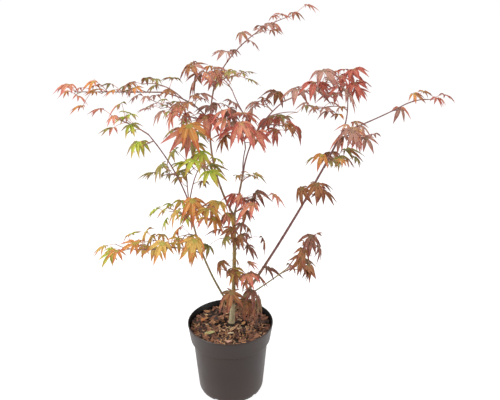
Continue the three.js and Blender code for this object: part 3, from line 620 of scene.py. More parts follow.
A, H = Autumn, Habit
MASSES = (
    MassPlan("top_spray", "leader", 1, (130, 60, 815), (-13, -31, 20),
             5, 0.22, 52, 6, 168, H.SLIGHT, 3, 7, (A.MAUVE, A.MAUVE, A.RUSTY, A.CORAL)),
    MassPlan("crown_left", "leader", 0.96, (-70, -25, 720), (8, -1, 2),
             3, 0.3, 50, 6, 84, H.BROAD, 5, 9, (A.CORAL, A.MAUVE, A.RUSTY)),
    MassPlan("crown_right", "leader", 0.98, (20, -70, 715), (-1, 0, 4),
             2, 0.4, 48, 16, 57, H.SLIGHT, 1, 12, (A.MAUVE, A.OLIVE)),
    MassPlan("arch_spray", "arch_bough", 1, (-265, -90, 690), (2, -5, 1),
             5, 0.3, 50, 28, 354, H.SLIGHT, 7, 13, (A.RUSTY, A.OLIVE, A.MAUVE, A.ORANGE, A.CORAL)),
    MassPlan("arch_shoulder", "arch_bough", 0.64, (-170, 40, 685), (3, -3, 11),
             3, 0.35, 50, 42, 71, H.SLIGHT, 1, 6, (A.OLIVE, A.RUSTY)),
    MassPlan("arch_foot", "arch_bough", 0.3, (-80, -80, 670), (2, 0, 4),
             2, 0.5, 50, 16, 13, H.SLIGHT, 3, 1, (A.MAUVE, A.RUSTY)),
    MassPlan("high_left", "leader", 0.69, (-175, 150, 635), (2, 5, 0),
             3, 0.6, 54, 6, 68, H.SLIGHT, 7, 4, (A.OLIVE, A.OLIVE, A.MAUVE)),
    MassPlan("heart_left", "leader", 0.7, (-85, -60, 635), (-2, -1, 9),
             3, 0.4, 58, 16, 233, H.BROAD, 5, 6, (A.CORAL, A.CRIMSON, A.CORAL, A.ORANGE)),
    MassPlan("heart_top", "leader", 0.74, (-5, 80, 620), (-1, 0, 5),
             2, 0.4, 52, 16, 357, H.BROAD, 7, 3, (A.DUSKY, A.MAUVE)),
    MassPlan("heart_right", "inner_rise", 1, (20, -90, 635), (3, 0, 3),
             4, 0.35, 56, 42, 39, H.BROAD, 7, 2, (A.RUSTY, A.CORAL, A.CRIMSON, A.CORAL)),
    MassPlan("inner_crown", "back_rise", 0.98, (-25, 165, 685), (2, 0, 2),
             3, 0.3, 52, 28, 282, H.SLIGHT, 7, 15, (A.OLIVE, A.AMBER, A.ORANGE)),
    MassPlan("shoulder_spray", "shoulder_bough", 1, (175, -110, 710), (1, 3, -1),
             4, 0.35, 56, 42, 23, H.ARCHING, 7, 6, (A.MAUVE, A.CRIMSON, A.MAUVE)),
    MassPlan("shoulder_left", "shoulder_bough", 0.83, (70, 30, 660), (-2, 0, -1),
             2, 0.5, 52, 6, 176, H.BROAD, 3, 3, (A.RUSTY, A.MAUVE)),
    MassPlan("shoulder_low", "shoulder_bough", 0.59, (120, -20, 610), (-1, 2, 5),
             3, 0.4, 52, 6, 144, H.HANGING, 5, 3, (A.OLIVE, A.RUSTY, A.CRIMSON)),
    MassPlan("shoulder_far", "shoulder_bough", 0.74, (145, 110, 615), (0, 0, 4),
             2, 0.55, 50, 42, 119, H.BROAD, 0, 1, (A.MAUVE, A.OLIVE)),
    MassPlan("crest", "crest_bough", 1, (262, 150, 682), (-1, 1, 1),
             4, 0.3, 56, 6, 224, H.BROAD, 5, 15, (A.CRIMSON, A.CRIMSON)),
    MassPlan("crest_left", "crest_bough", 0.82, (175, 60, 630), (10, -1, 9),
             3, 0.4, 52, 42, 391, H.SLIGHT, 3, 5, (A.ORANGE, A.RUSTY, A.MAUVE)),
    MassPlan("fork_spray", "right_bough", 0.96, (262, 5, 588), (2, 0, 4),
             3, 0.35, 56, 16, 153, H.ARCHING, 7, 1, (A.PEACH, A.CORAL, A.MAUVE)),
    MassPlan("mid_right", "right_bough", 0.82, (245, 80, 525), (-1, 0, 6),
             2, 0.5, 54, 42, 71, H.BROAD, 7, 16, (A.RUSTY, A.OLIVE)),
    MassPlan("mid_left", "right_bough", 0.86, (190, -40, 545), (0, 0, 4),
             2, 0.45, 54, 42, 147, H.SLIGHT, 3, 2, (A.OLIVE, A.ORANGE)),
    MassPlan("far_right_mid", "far_right_bough", 0.76, (345, 0, 640), (-2, 0, 2),
             2, 0.4, 52, 42, 47, H.BROAD, 0, 1, (A.MAUVE, A.CORAL, A.RUSTY)),
    MassPlan("far_right_tip", "far_right_bough", 0.99, (380, -40, 668), (1, 1, 3),
             3, 0.3, 46, 28, 354, H.SLIGHT, 1, 9, (A.RUSTY, A.ORANGE, A.CORAL, A.CRIMSON)),
    MassPlan("low_mid", "right_bough", 0.65, (180, 20, 470), (-2, 0, 4),
             2, 0.5, 54, 28, 2, H.HANGING, 3, 12, (A.CRIMSON, A.RUSTY)),
    MassPlan("low_right_tip", "low_right_bough", 0.98, (160, -130, 415), (3, -1, 11),
             3, 0.4, 54, 42, 399, H.HANGING, 3, 13, (A.RUSTY, A.DUSKY)),
    MassPlan("low_right_mid", "low_right_bough", 0.85, (145, -50, 330), (1, 0, 1),
             3, 0.35, 54, 6, 56, H.HANGING, 7, 7, (A.RUSTY, A.BRONZE)),
    MassPlan("red_right", "fork_stem", 0.28, (65, -60, 480), (-1, -1, 8),
             3, 0.35, 52, 28, 14, H.ARCHING, 5, 2, (A.DUSKY, A.CRIMSON, A.CORAL)),
    MassPlan("fork_small", "fork_stem", 0.74, (45, 50, 490), (-2, 0, 2),
             2, 0.4, 36, 28, 134, H.LEVEL, 5, 3, (A.AMBER, A.OLIVE)),
    MassPlan("orange_left", "left_bough", 0.79, (-130, 60, 405), (2, 0, 12),
             3, 0.35, 52, 16, 249, H.HANGING, 7, 2, (A.ORANGE, A.AMBER, A.LIME)),
    MassPlan("orange_right", "left_bough", 0.92, (-25, -60, 460), (4, 2, 9),
             4, 0.3, 52, 42, 35, H.BROAD, 5, 16, (A.ORANGE, A.ORANGE, A.CORAL, A.AMBER)),
    MassPlan("left_outer_tip", "left_outer_bough", 1, (-185, -150, 655), (1, 1, 2),
             3, 0.35, 50, 16, 89, H.SLIGHT, 5, 14, (A.LIME, A.OLIVE, A.CORAL)),
    MassPlan("left_outer_mid", "left_outer_bough", 0.91, (-155, -90, 590), (1, 0, 1),
             2, 0.4, 50, 42, 275, H.HANGING, 7, 8, (A.OLIVE, A.LIME)),
    MassPlan("left_outer_low", "left_outer_bough", 0.41, (-130, -10, 510), (0, 0, 3),
             3, 0.3, 48, 42, 139, H.ARCHING, 7, 4, (A.OLIVE,)),
    MassPlan("left_upright", "left_bough", 1, (-90, 80, 565), (-4, 2, 2),
             3, 0.62, 54, 42, 423, H.BROAD, 5, 6, (A.OLIVE, A.AMBER, A.OLIVE)),
    MassPlan("left_inner", "left_bough", 0.99, (-35, -100, 555), (-2, 9, 24),
             3, 0.55, 52, 6, 388, H.LEVEL, 3, 14, (A.BRONZE, A.OLIVE, A.LIME)),
    MassPlan("low_left_tip", "low_left_bough", 1, (-215, -100, 400), (-9, -14, 0),
             3, 0.3, 52, 6, 228, H.LEVEL, 1, 16, (A.ORANGE, A.LIME, A.AMBER)),
    MassPlan("low_left_mid", "low_left_bough", 0.86, (-150, -60, 390), (1, 0, 4),
             2, 0.5, 52, 42, 19, H.HANGING, 3, 12, (A.OLIVE, A.AMBER)),
    MassPlan("trunk_top", "trunk", 0.91, (35, -40, 430), (-3, 0, 4),
             2, 0.4, 44, 42, 79, H.HANGING, 7, 12, (A.RUSTY, A.DUSKY)),
    MassPlan("trunk_left", "trunk", 0.73, (-15, -50, 390), (3, 0, 6),
             2, 0.5, 44, 42, 191, H.BROAD, 3, 17, (A.RUSTY, A.OLIVE)),
    MassPlan("trunk_right", "trunk", 0.67, (40, -50, 390), (-2, 0, 1),
             3, 0.35, 44, 6, 280, H.HANGING, 1, 3, (A.DUSKY, A.RUSTY)),
    MassPlan("low_left_trunk", "trunk", 0.43, (-15, -40, 315), (2, 0, 3),
             2, 0.5, 44, 6, 24, H.BROAD, 7, 7, (A.AMBER, A.RUSTY)),
    MassPlan("low_right_trunk", "trunk", 0.36, (50, -55, 310), (-3, 0, 6),
             3, 0.4, 50, 16, 425, H.BROAD, 5, 14, (A.RUSTY, A.CORAL, A.DUSKY)),
    MassPlan("base_left", "trunk", 0.19, (8, -62, 256), (2, 0, 5),
             2, 0.5, 52, 28, 122, H.STEEP, 1, 4, (A.RUSTY, A.BRONZE, A.RUSTY)),
    MassPlan("base_right", "trunk", 0.17, (35, -35, 245), (-2, 0, 3),
             2, 0.5, 52, 28, 358, H.STEEP, 2, 17, (A.RUSTY, A.RUSTY, A.BRONZE)),
    MassPlan("low_left_inner", "left_bough", 0.7, (-85, -130, 420), (-1, 0, 11),
             3, 0.45, 54, 28, 322, H.BROAD, 3, 5, (A.AMBER, A.ORANGE, A.AMBER)),
)


def tube(points: np.ndarray, radii: np.ndarray, sides: int) -> tuple[np.ndarray, list[tuple[int, ...]]]:
    """A round tube along points, closed at both ends.

    Args:
        points: Centres of its rings, one row each.
        radii: Radius of each ring.
        sides: Sides round it.

    Returns:
        Its points and its faces.
    """
    runs = np.gradient(points, axis=0)
    runs /= np.linalg.norm(runs, axis=1)[:, None]
    across = np.cross(runs[0], UP if abs(runs[0][2]) < 0.9 else np.array([1.0, 0.0, 0.0]))
    rings = []
    turn = np.arange(sides) * 2 * math.pi / sides
    for centre, run, radius in zip(points, runs, radii):
        across = unit(across - run * (across @ run))
        over = np.cross(run, across)
        rings.append(centre + radius * (np.outer(np.cos(turn), across) + np.outer(np.sin(turn), over)))
    faces = []
    for k in range(len(points) - 1):
        for j in range(sides):
            a, b = k * sides + j, k * sides + (j + 1) % sides
            faces.append((a, b, b + sides, a + sides))
    last = (len(points) - 1) * sides
    faces.append(tuple(range(sides))[::-1])
    faces.append(tuple(range(last, last + sides)))
    return np.concatenate(rings), faces


@dataclass
class MeshBin:
    """Faces of many small things, gathered for one joined piece."""

    points: list[np.ndarray] = field(default_factory=list)
    faces: list[tuple[int, ...]] = field(default_factory=list)
    paints: list[int] = field(default_factory=list)
    materials: list[bpy.types.Material] = field(default_factory=list)
    count: int = 0

    def paint(self, tint: PlainTint) -> int:
        """The index of a tint's material in this piece."""
        material = tint.material()
        if material not in self.materials:
            self.materials.append(material)
        return self.materials.index(material)

    def add(self, points: np.ndarray, faces: Sequence[Sequence[int]], paints: Sequence[int]) -> None:
        """Add a thing's points, in millimetres, with its faces and the paint of each."""
        self.points.append(points)
        self.faces.extend(tuple(int(i) + self.count for i in face) for face in faces)
        self.paints.extend(paints)
        self.count += len(points)

    def add_stem(self, points: np.ndarray, radii: np.ndarray, girth: Girth, tint: PlainTint) -> None:
        """Add a round stem of one tint along points in millimetres."""
        shape, faces = tube(points, radii, girth.value)
        self.add(shape, faces, [self.paint(tint)] * len(faces))

    def piece(self, name: str, smooth: bool = True) -> bpy.types.Object:
        """Make the joined piece.

        Args:
            name: The piece's name.
            smooth: Whether its faces are shaded smooth.

        Returns:
            The new object.
        """
        mesh = bpy.data.meshes.new(name)
        mesh.from_pydata((np.concatenate(self.points) * MM).tolist(), [], self.faces)
        for material in self.materials:
            mesh.materials.append(material)
        mesh.polygons.foreach_set("material_index", self.paints)
        mesh.polygons.foreach_set("use_smooth", [smooth] * len(self.faces))
        mesh.update()
        made = bpy.data.objects.new(name, mesh)
        bpy.context.scene.collection.objects.link(made)
        return made


@dataclass
class Camera:
    """The camera, fitted to the rim, lip, foot and soil line of the photographed pot."""

    place: tuple[float, float, float] = (0.0437, -1.0788, 0.8439)
    down: float = 19.86
    lens: float = 40.0
    sensor: float = 36.0

    def build(self) -> None:
        """Make the camera and use it."""
        bpy.ops.object.camera_add(location=self.place, rotation=(math.radians(90 - self.down), 0, 0))
        camera = bpy.context.object
        camera.data.lens = self.lens
        camera.data.sensor_width = self.sensor
        bpy.context.scene.camera = camera


@dataclass(frozen=True)
class Softbox:
    """One large soft lamp: its place and size in metres, and its power."""

    name: str
    place: tuple[float, float, float]
    size: float
    power: float

    def light(self, aim: tuple[float, float, float]) -> None:
        """Add the lamp, turned to the place that it aims at."""
        bpy.ops.object.light_add(type="AREA", location=self.place)
        lamp = bpy.context.object
        lamp.name = self.name
        lamp.data.size = self.size
        lamp.data.energy = self.power
        x, y, z = np.array(aim) - np.array(self.place)
        lamp.rotation_euler = (math.atan2(math.hypot(x, y), -z), 0.0, math.atan2(y, x) - math.pi / 2)


@dataclass
class Studio:
    """A white paper floor and backdrop under soft side light."""

    reach: float = 60.0
    surround: float = 0.72
    aim: tuple[float, float, float] = (0.04, 0.0, 0.45)

    FLOOR = StudioPaper("floor_paper", "989898", 0.78)
    BACKDROP = StudioPaper("backdrop_paper", "202020", 1.0)
    LAMPS = (
        Softbox("left softbox", (-1.9, -0.9, 1.3), 1.2, 56.0),
        Softbox("right softbox", (2.0, -0.5, 1.0), 1.1, 26.0),
        Softbox("top softbox", (0.1, -0.2, 2.5), 1.4, 30.0),
    )

    def build(self) -> None:
        """Make the floor, the backdrop, the surround and the lamps."""
        self.paper("studio_floor", (0, 0, 0), 0.0, self.FLOOR)
        self.paper("studio_backdrop", (0, self.reach / 2, 0), math.pi / 2, self.BACKDROP)
        world = bpy.data.worlds.new("studio")
        world.use_nodes = True
        background = world.node_tree.nodes["Background"]
        background.inputs["Color"].default_value = WHITE
        background.inputs["Strength"].default_value = self.surround
        bpy.context.scene.world = world
        bpy.context.scene.view_settings.view_transform = "Standard"
        for lamp in self.LAMPS:
            lamp.light(self.aim)

    def paper(self, name: str, place: tuple[float, float, float], tilt: float, finish: StudioPaper) -> None:
        """Lay or stand one large sheet of paper."""
        bpy.ops.mesh.primitive_plane_add(size=self.reach, location=place, rotation=(tilt, 0, 0))
        sheet = bpy.context.object
        sheet.name = name
        sheet.data.materials.append(finish.material())


@dataclass
class NurseryPot:
    """The container: a deep outer lip, a stepped foot and drain slots, sizes in millimetres."""

    height: float = 168.0
    rim: float = 95.0
    lip: float = 40.0
    lip_foot: float = 89.5
    top: float = 84.0
    foot: float = 74.0
    base: float = 71.0
    foot_height: float = 12.0
    wall: float = 2.4
    floor: float = 4.0
    drains: int = 5
    first_drain: float = 0.4
    drain_radius: float = 6.5
    drain_depth: float = 26.0
    drain_sink: float = 0.5
    drain_sides: int = 24
    sides: int = 96
    smooth_angle: float = 32.0

    FINISHES = (
        PotPlastic("pot_plastic", "231714", "2b1e19", "3f2f28", 0.35),
        # Painted shade: a near-black copy of the plastic, put on the inside wall to stand in for the shadow
        # inside the pot
        PotPlastic("damp_plastic", "0c0a09", "12100e", "12100e", 0.2),
    )

    def profile(self) -> list[tuple[float, float]]:
        """Radius and height of each ring, up the outside, over the rim and down inside."""
        lip_foot = self.height - self.lip
        shelf = lip_foot + self.wall
        inner_foot = self.foot - self.wall - 1
        return [
            (self.base - 3, 0.0),
            (self.base, 2.0),
            (self.foot - 0.6, self.foot_height - 4),
            (self.foot, self.foot_height),
            ((self.foot + self.top) / 2, (self.foot_height + lip_foot) / 2),
            (self.top - 0.5, lip_foot - 5.4),
            (self.top + 0.5, lip_foot - 4.6),
            (self.top + 0.5, lip_foot - 3.0),
            (self.top, lip_foot - 2.2),
            (self.top, lip_foot),
            (self.lip_foot - 0.8, lip_foot),
            (self.lip_foot, lip_foot + 0.9),
            (self.rim - 0.4, self.height - 5),
            (self.rim, self.height - 3.6),
            (self.rim, self.height - 0.9),
            (self.rim - 0.8, self.height),
            (self.rim - self.wall + 0.5, self.height),
            (self.rim - self.wall, self.height - 0.8),
            (self.lip_foot - self.wall, shelf + 2),
            (self.top - self.wall, shelf),
            (inner_foot, self.floor + 3),
            (inner_foot - 3, self.floor),
        ]

    def build(self) -> bpy.types.Object:
        """Raise the pot ring by ring from its foot, cut its drains and round its edges.

        Returns:
            The finished pot.
        """
        deselect_all()
        rings = self.profile()
        radius, height = rings[0]
        bpy.ops.mesh.primitive_circle_add(vertices=self.sides, radius=radius * MM, fill_type="NGON")
        pot = bpy.context.object
        pot.name = "nursery_pot"
        with mesh_edit():
            for next_radius, next_height in rings[1:]:
                rise = (0, 0, (next_height - height) * MM)
                bpy.ops.mesh.extrude_region_move(TRANSFORM_OT_translate={"value": rise})
                grow = next_radius / radius
                bpy.ops.transform.resize(value=(grow, grow, 1), center_override=(0, 0, next_height * MM))
                radius, height = next_radius, next_height
        for k in range(self.drains):
            self.cut_drain(pot, (k + self.first_drain) / self.drains)
        select_only(pot)
        bpy.ops.object.shade_smooth_by_angle(angle=math.radians(self.smooth_angle))
        self.dress(pot)
        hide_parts("pot")
        return pot

    def dress(self, pot: bpy.types.Object) -> None:
        """Give the pot its plastic, matt outside, and near black on the wall inside as painted shade."""
        for finish in self.FINISHES:
            pot.data.materials.append(finish.material())
        for face in pot.data.polygons:
            inward = face.normal.x * face.center.x + face.normal.y * face.center.y < 0
            # Faces turned in towards the axis, above the floor, get the near-black painted-shade finish
            face.material_index = 1 if inward and face.center.z > self.floor * MM else 0

    def cut_drain(self, pot: bpy.types.Object, turn: float) -> None:
        """Cut one arched slot through the corner between the floor and the wall.

        Args:
            pot: The pot to cut.
            turn: The slot's place round the foot, as a share of a turn.
        """
        angle = turn * 2 * math.pi
        place = (self.base * MM * math.cos(angle), self.base * MM * math.sin(angle), -self.drain_sink * MM)
        deselect_all()
        bpy.ops.mesh.primitive_cylinder_add(vertices=self.drain_sides, radius=self.drain_radius * MM,
                                            depth=self.drain_depth * MM, location=place,
                                            rotation=(0, math.pi / 2, angle))
        cutter = bpy.context.object
        cut = pot.modifiers.new("drain", "BOOLEAN")
        cut.operation = "DIFFERENCE"
        cut.object = cutter
        apply_modifiers(pot)
        bpy.data.objects.remove(cutter)


@dataclass(frozen=True)
class Scrap:
    """One thing that lies on the mulch: its tint, place, size in millimetres and turn in degrees."""

    name: str
    tint: str
    place: tuple[float, float]
    size: tuple[float, float, float]
    turn: float


@dataclass
class Mulch:
    """Potting mix with a layer of bark chips, splinters and a few fallen leaf scraps."""

    top: float = 156.0
    reach: float = 89.6
    bottom: float = 146.5
    collar: float = 13.0
    fade: float = 25.0
    wave: float = 2.2
    hollow_depth: float = 4.5
    crumb: float = 0.9
    ring_step: float = 3.2
    chips: int = 900
    splinters: int = 170
    sides: int = 84
    break_turn: float = 2.4
    break_place: float = 0.4
    break_grain: float = 0.035

    CHIP_LENGTH = (5, 10)
    CHIP_LONGER = 9
    CHIP_WIDTH = (0.35, 0.75)
    CHIP_THICKNESS = (1.4, 3.0)
    CHIP_LIFT = (-0.8, 2.6)
    SPLINTER_LENGTH = (5, 13)
    SPLINTER_WIDTH = (0.8, 1.8)
    SPLINTER_THICKNESS = (0.7, 1.2)
    SPLINTER_LIFT = (1.6, 3.4)
    SCRAP_LIFT = 4.0
    SCRAP_TILT = (8.0, -10.0)
    CHIP_TINTS = ("66402c", "4a2d21", "744a32", "845840", "33211a", "966a48", "5e3a2a", "3c261c")
    SPLINTER_TINTS = ("966c48", "ae865c", "7c583c", "c4a47c")
    HOLLOWS = ((-50, 42, 17), (-22, 0, 14), (30, 0, 17), (38, 36, 13), (-11, 20, 9))
    SCRAPS = (
        Scrap("orange_flake", "92582a", (-62, 14), (11, 9, 3), 10),
        Scrap("tan_flake", "94683f", (29, 6), (8, 6, 5), 40),
        Scrap("leaf_scrap", "8f8a58", (-46, -40), (23, 8, 1.2), 12),
        Scrap("curled_flake", "b08672", (-3, -67), (14, 7, 2.6), -25),
        Scrap("pale_flake", "b8a284", (2, -40), (12, 4, 1.5), 5),
        Scrap("fallen_stalk", "a0664c", (-40, -30), (20, 1.3, 1.2), -48),
    )

    def soil_height(self, x: np.ndarray, y: np.ndarray) -> np.ndarray:
        """Height of the uneven top, level round the trunk.

        Args:
            x: Distances to the right of the pot's middle.
            y: Distances behind it.

        Returns:
            The heights in millimetres.
        """
        out = np.hypot(x, y)
        fade = np.clip((out - self.collar) / self.fade, 0, 1)
        waves = np.sin(x * 0.11 + 1) * np.cos(y * 0.13) + 0.5 * np.sin(x * 0.05 - y * 0.07)
        return self.top + self.wave * fade * waves - self.hollow_depth * self.hollow(x, y)

    def hollow(self, x: np.ndarray, y: np.ndarray) -> np.ndarray:
        """How far places lie in a hollow, from 0 to 1."""
        return sum(np.exp(-(((x - hx) ** 2 + (y - hy) ** 2) / reach ** 2)) for hx, hy, reach in self.HOLLOWS)

    def build(self) -> list[bpy.types.Object]:
        """Make the mix, the chips, the splinters and the scraps.

        Returns:
            The finished pieces.
        """
        pieces = [self.bed(), self.scatter_chips(), self.scatter_splinters(), self.lay_scraps()]
        for piece in pieces:
            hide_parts("soil")
        return pieces

    def bed(self) -> bpy.types.Object:
        """The dark mix: a closed plug, ringed inwards at its top and made crumbly."""
        deselect_all()
        bpy.ops.mesh.primitive_circle_add(vertices=self.sides, radius=(self.reach - 1) * MM, fill_type="NGON",
                                          location=(0, 0, self.bottom * MM))
        bed = bpy.context.object
        bed.name = "potting_mix"
        rise = (self.top - 1 - self.bottom) * MM
        with mesh_edit():
            bpy.ops.mesh.extrude_region_move(TRANSFORM_OT_translate={"value": (0, 0, rise)})
            for _ in range(int((self.reach - 4) / self.ring_step)):
                bpy.ops.mesh.inset(thickness=self.ring_step * MM)
        select_only(bed)
        bpy.ops.object.transform_apply(location=True, rotation=True, scale=True)
        where = np.zeros(len(bed.data.vertices) * 3)
        bed.data.vertices.foreach_get("co", where)
        where = where.reshape(-1, 3)
        upper = where[:, 2] > (self.top - 2) * MM
        lowered = self.soil_height(where[:, 0] / MM, where[:, 1] / MM) - 1.5
        lowered += np.random.default_rng(5).normal(0, self.crumb, len(where))
        where[upper, 2] = lowered[upper] * MM
        bed.data.vertices.foreach_set("co", where.ravel())
        bed.data.materials.append(Humus().material())
        return bed

    def chip(self, cuts: int, turn: float) -> tuple[np.ndarray, list[tuple[int, ...]]]:
        """Model one flake of bark, a unit long, broken off at its corners.

        Args:
            cuts: How many corners are broken off.
            turn: Turn of the first break, in radians.

        Returns:
            Its points and its faces.
        """
        deselect_all()
        bpy.ops.mesh.primitive_cube_add(size=1.0)
        chip = bpy.context.object
        with mesh_edit():
            bpy.ops.mesh.subdivide(number_cuts=1, smoothness=0.15)
            for k in range(cuts):
                angle = turn + k * self.break_turn
                facing = (math.cos(angle), math.sin(angle), 0.5 * math.sin(5 * angle))
                place = (self.break_place * math.cos(angle), self.break_place * math.sin(angle), 0.0)
                bpy.ops.mesh.select_all(action="SELECT")
                bpy.ops.mesh.bisect(plane_co=place, plane_no=facing, use_fill=True, clear_outer=True)
        points = np.array([vertex.co[:] for vertex in chip.data.vertices])
        faces = [tuple(face.vertices) for face in chip.data.polygons]
        points += np.random.default_rng(int(turn * 100)).normal(0, self.break_grain, points.shape)
        bpy.data.objects.remove(chip)
        return points, faces

    def lay(self, gathered: MeshBin, shape: tuple[np.ndarray, list], size: np.ndarray,
            place: np.ndarray, turns: np.ndarray, paint: int) -> None:
        """Lay one copy of a shape on the mulch.

        Args:
            gathered: The joined piece to add it to.
            shape: Points and faces of the shape, a unit long.
            size: Its length, width and thickness.
            place: Where its middle lies.
            turns: Its tilt about x and y, and its turn about z.
            paint: Index of its tint.
        """
        points = (shape[0] * size) @ np.array(Euler(turns, "XYZ").to_matrix()).T + place
        out = np.hypot(points[:, 0], points[:, 1])
        shrink = np.minimum(1.0, (self.reach - 0.4) / np.maximum(out, 1.0))
        points[:, :2] *= shrink[:, None]
        gathered.add(points, shape[1], [paint] * len(shape[1]))

    def spots(self, draws: np.random.Generator, count: int, edge: float) -> Iterator[np.ndarray]:
        """Places spread evenly over the mulch, clear of the trunk."""
        for _ in range(count):
            out = math.sqrt(draws.uniform(0.02, 1.0)) * (self.reach - edge)
            angle = draws.uniform(0, 2 * math.pi)
            yield np.array([out * math.cos(angle), out * math.sin(angle)])

    @staticmethod
    def tumble(draws: np.random.Generator, about_x: float, about_y: float) -> np.ndarray:
        """Turns of a scattered thing: a small tilt about x and y, and any turn about z."""
        return np.array([draws.normal(0, about_x), draws.normal(0, about_y), draws.uniform(0, 2 * math.pi)])

    @staticmethod
    def paints(gathered: MeshBin, stem: str, codes: Sequence[str], rough: float) -> list[int]:
        """The indices of a range of tints in a joined piece."""
        return [gathered.paint(PlainTint(f"{stem}_{k}", code, rough)) for k, code in enumerate(codes)]

    def scatter_chips(self) -> bpy.types.Object:
        """Bark chips, small below and larger on top, their tints dealt out at random."""
        draws = np.random.default_rng(21)
        shapes = [self.chip(3 + k % 3, 0.7 * k) for k in range(6)]
        gathered = MeshBin()
        paints = self.paints(gathered, "bark_chip", self.CHIP_TINTS, 0.85)
        for k, spot in enumerate(self.spots(draws, self.chips, 3.0)):
            layer = k / self.chips
            length = draws.uniform(*self.CHIP_LENGTH) + self.CHIP_LONGER * layer * draws.uniform(0, 1) ** 2
            width = length * draws.uniform(*self.CHIP_WIDTH)
            size = np.array([length, width, draws.uniform(*self.CHIP_THICKNESS)])
            if draws.uniform(0.15, 1) < self.hollow(*spot):
                continue
            z = float(self.soil_height(*spot)) + self.CHIP_LIFT[0] + self.CHIP_LIFT[1] * layer
            turns = self.tumble(draws, 0.25, 0.25)
            self.lay(gathered, shapes[k % len(shapes)], size, np.array([*spot, z]), turns,
                     paints[int(draws.integers(len(paints)))])
        return gathered.piece("bark_chips", smooth=False)

    def scatter_splinters(self) -> bpy.types.Object:
        """Pale splinters and fibres of wood between the chips."""
        draws = np.random.default_rng(33)
        shape = self.chip(2, 0.3)
        gathered = MeshBin()
        paints = self.paints(gathered, "splinter", self.SPLINTER_TINTS, 0.8)
        for k, spot in enumerate(self.spots(draws, self.splinters, 5.0)):
            if k % 3:
                spot[1] = -abs(spot[1])
            size = np.array([draws.uniform(*self.SPLINTER_LENGTH), draws.uniform(*self.SPLINTER_WIDTH),
                             draws.uniform(*self.SPLINTER_THICKNESS)])
            z = float(self.soil_height(*spot)) + draws.uniform(*self.SPLINTER_LIFT)
            turns = self.tumble(draws, 0.3, 0.22)
            self.lay(gathered, shape, size, np.array([*spot, z]), turns,
                     paints[int(draws.integers(len(paints)))])
        return gathered.piece("wood_splinters", smooth=False)

    def lay_scraps(self) -> bpy.types.Object:
        """The few larger flakes and fallen leaf scraps that lie on top."""
        gathered = MeshBin()
        for k, scrap in enumerate(self.SCRAPS):
            paint = gathered.paint(PlainTint(scrap.name, scrap.tint, 0.7))
            z = float(self.soil_height(*scrap.place)) + self.SCRAP_LIFT
            turns = np.radians([*self.SCRAP_TILT, scrap.turn])
            self.lay(gathered, self.chip(4, 1.1 * k), np.array(scrap.size, float),
                     np.array([*scrap.place, z]), turns, paint)
        return gathered.piece("fallen_scraps", smooth=False)


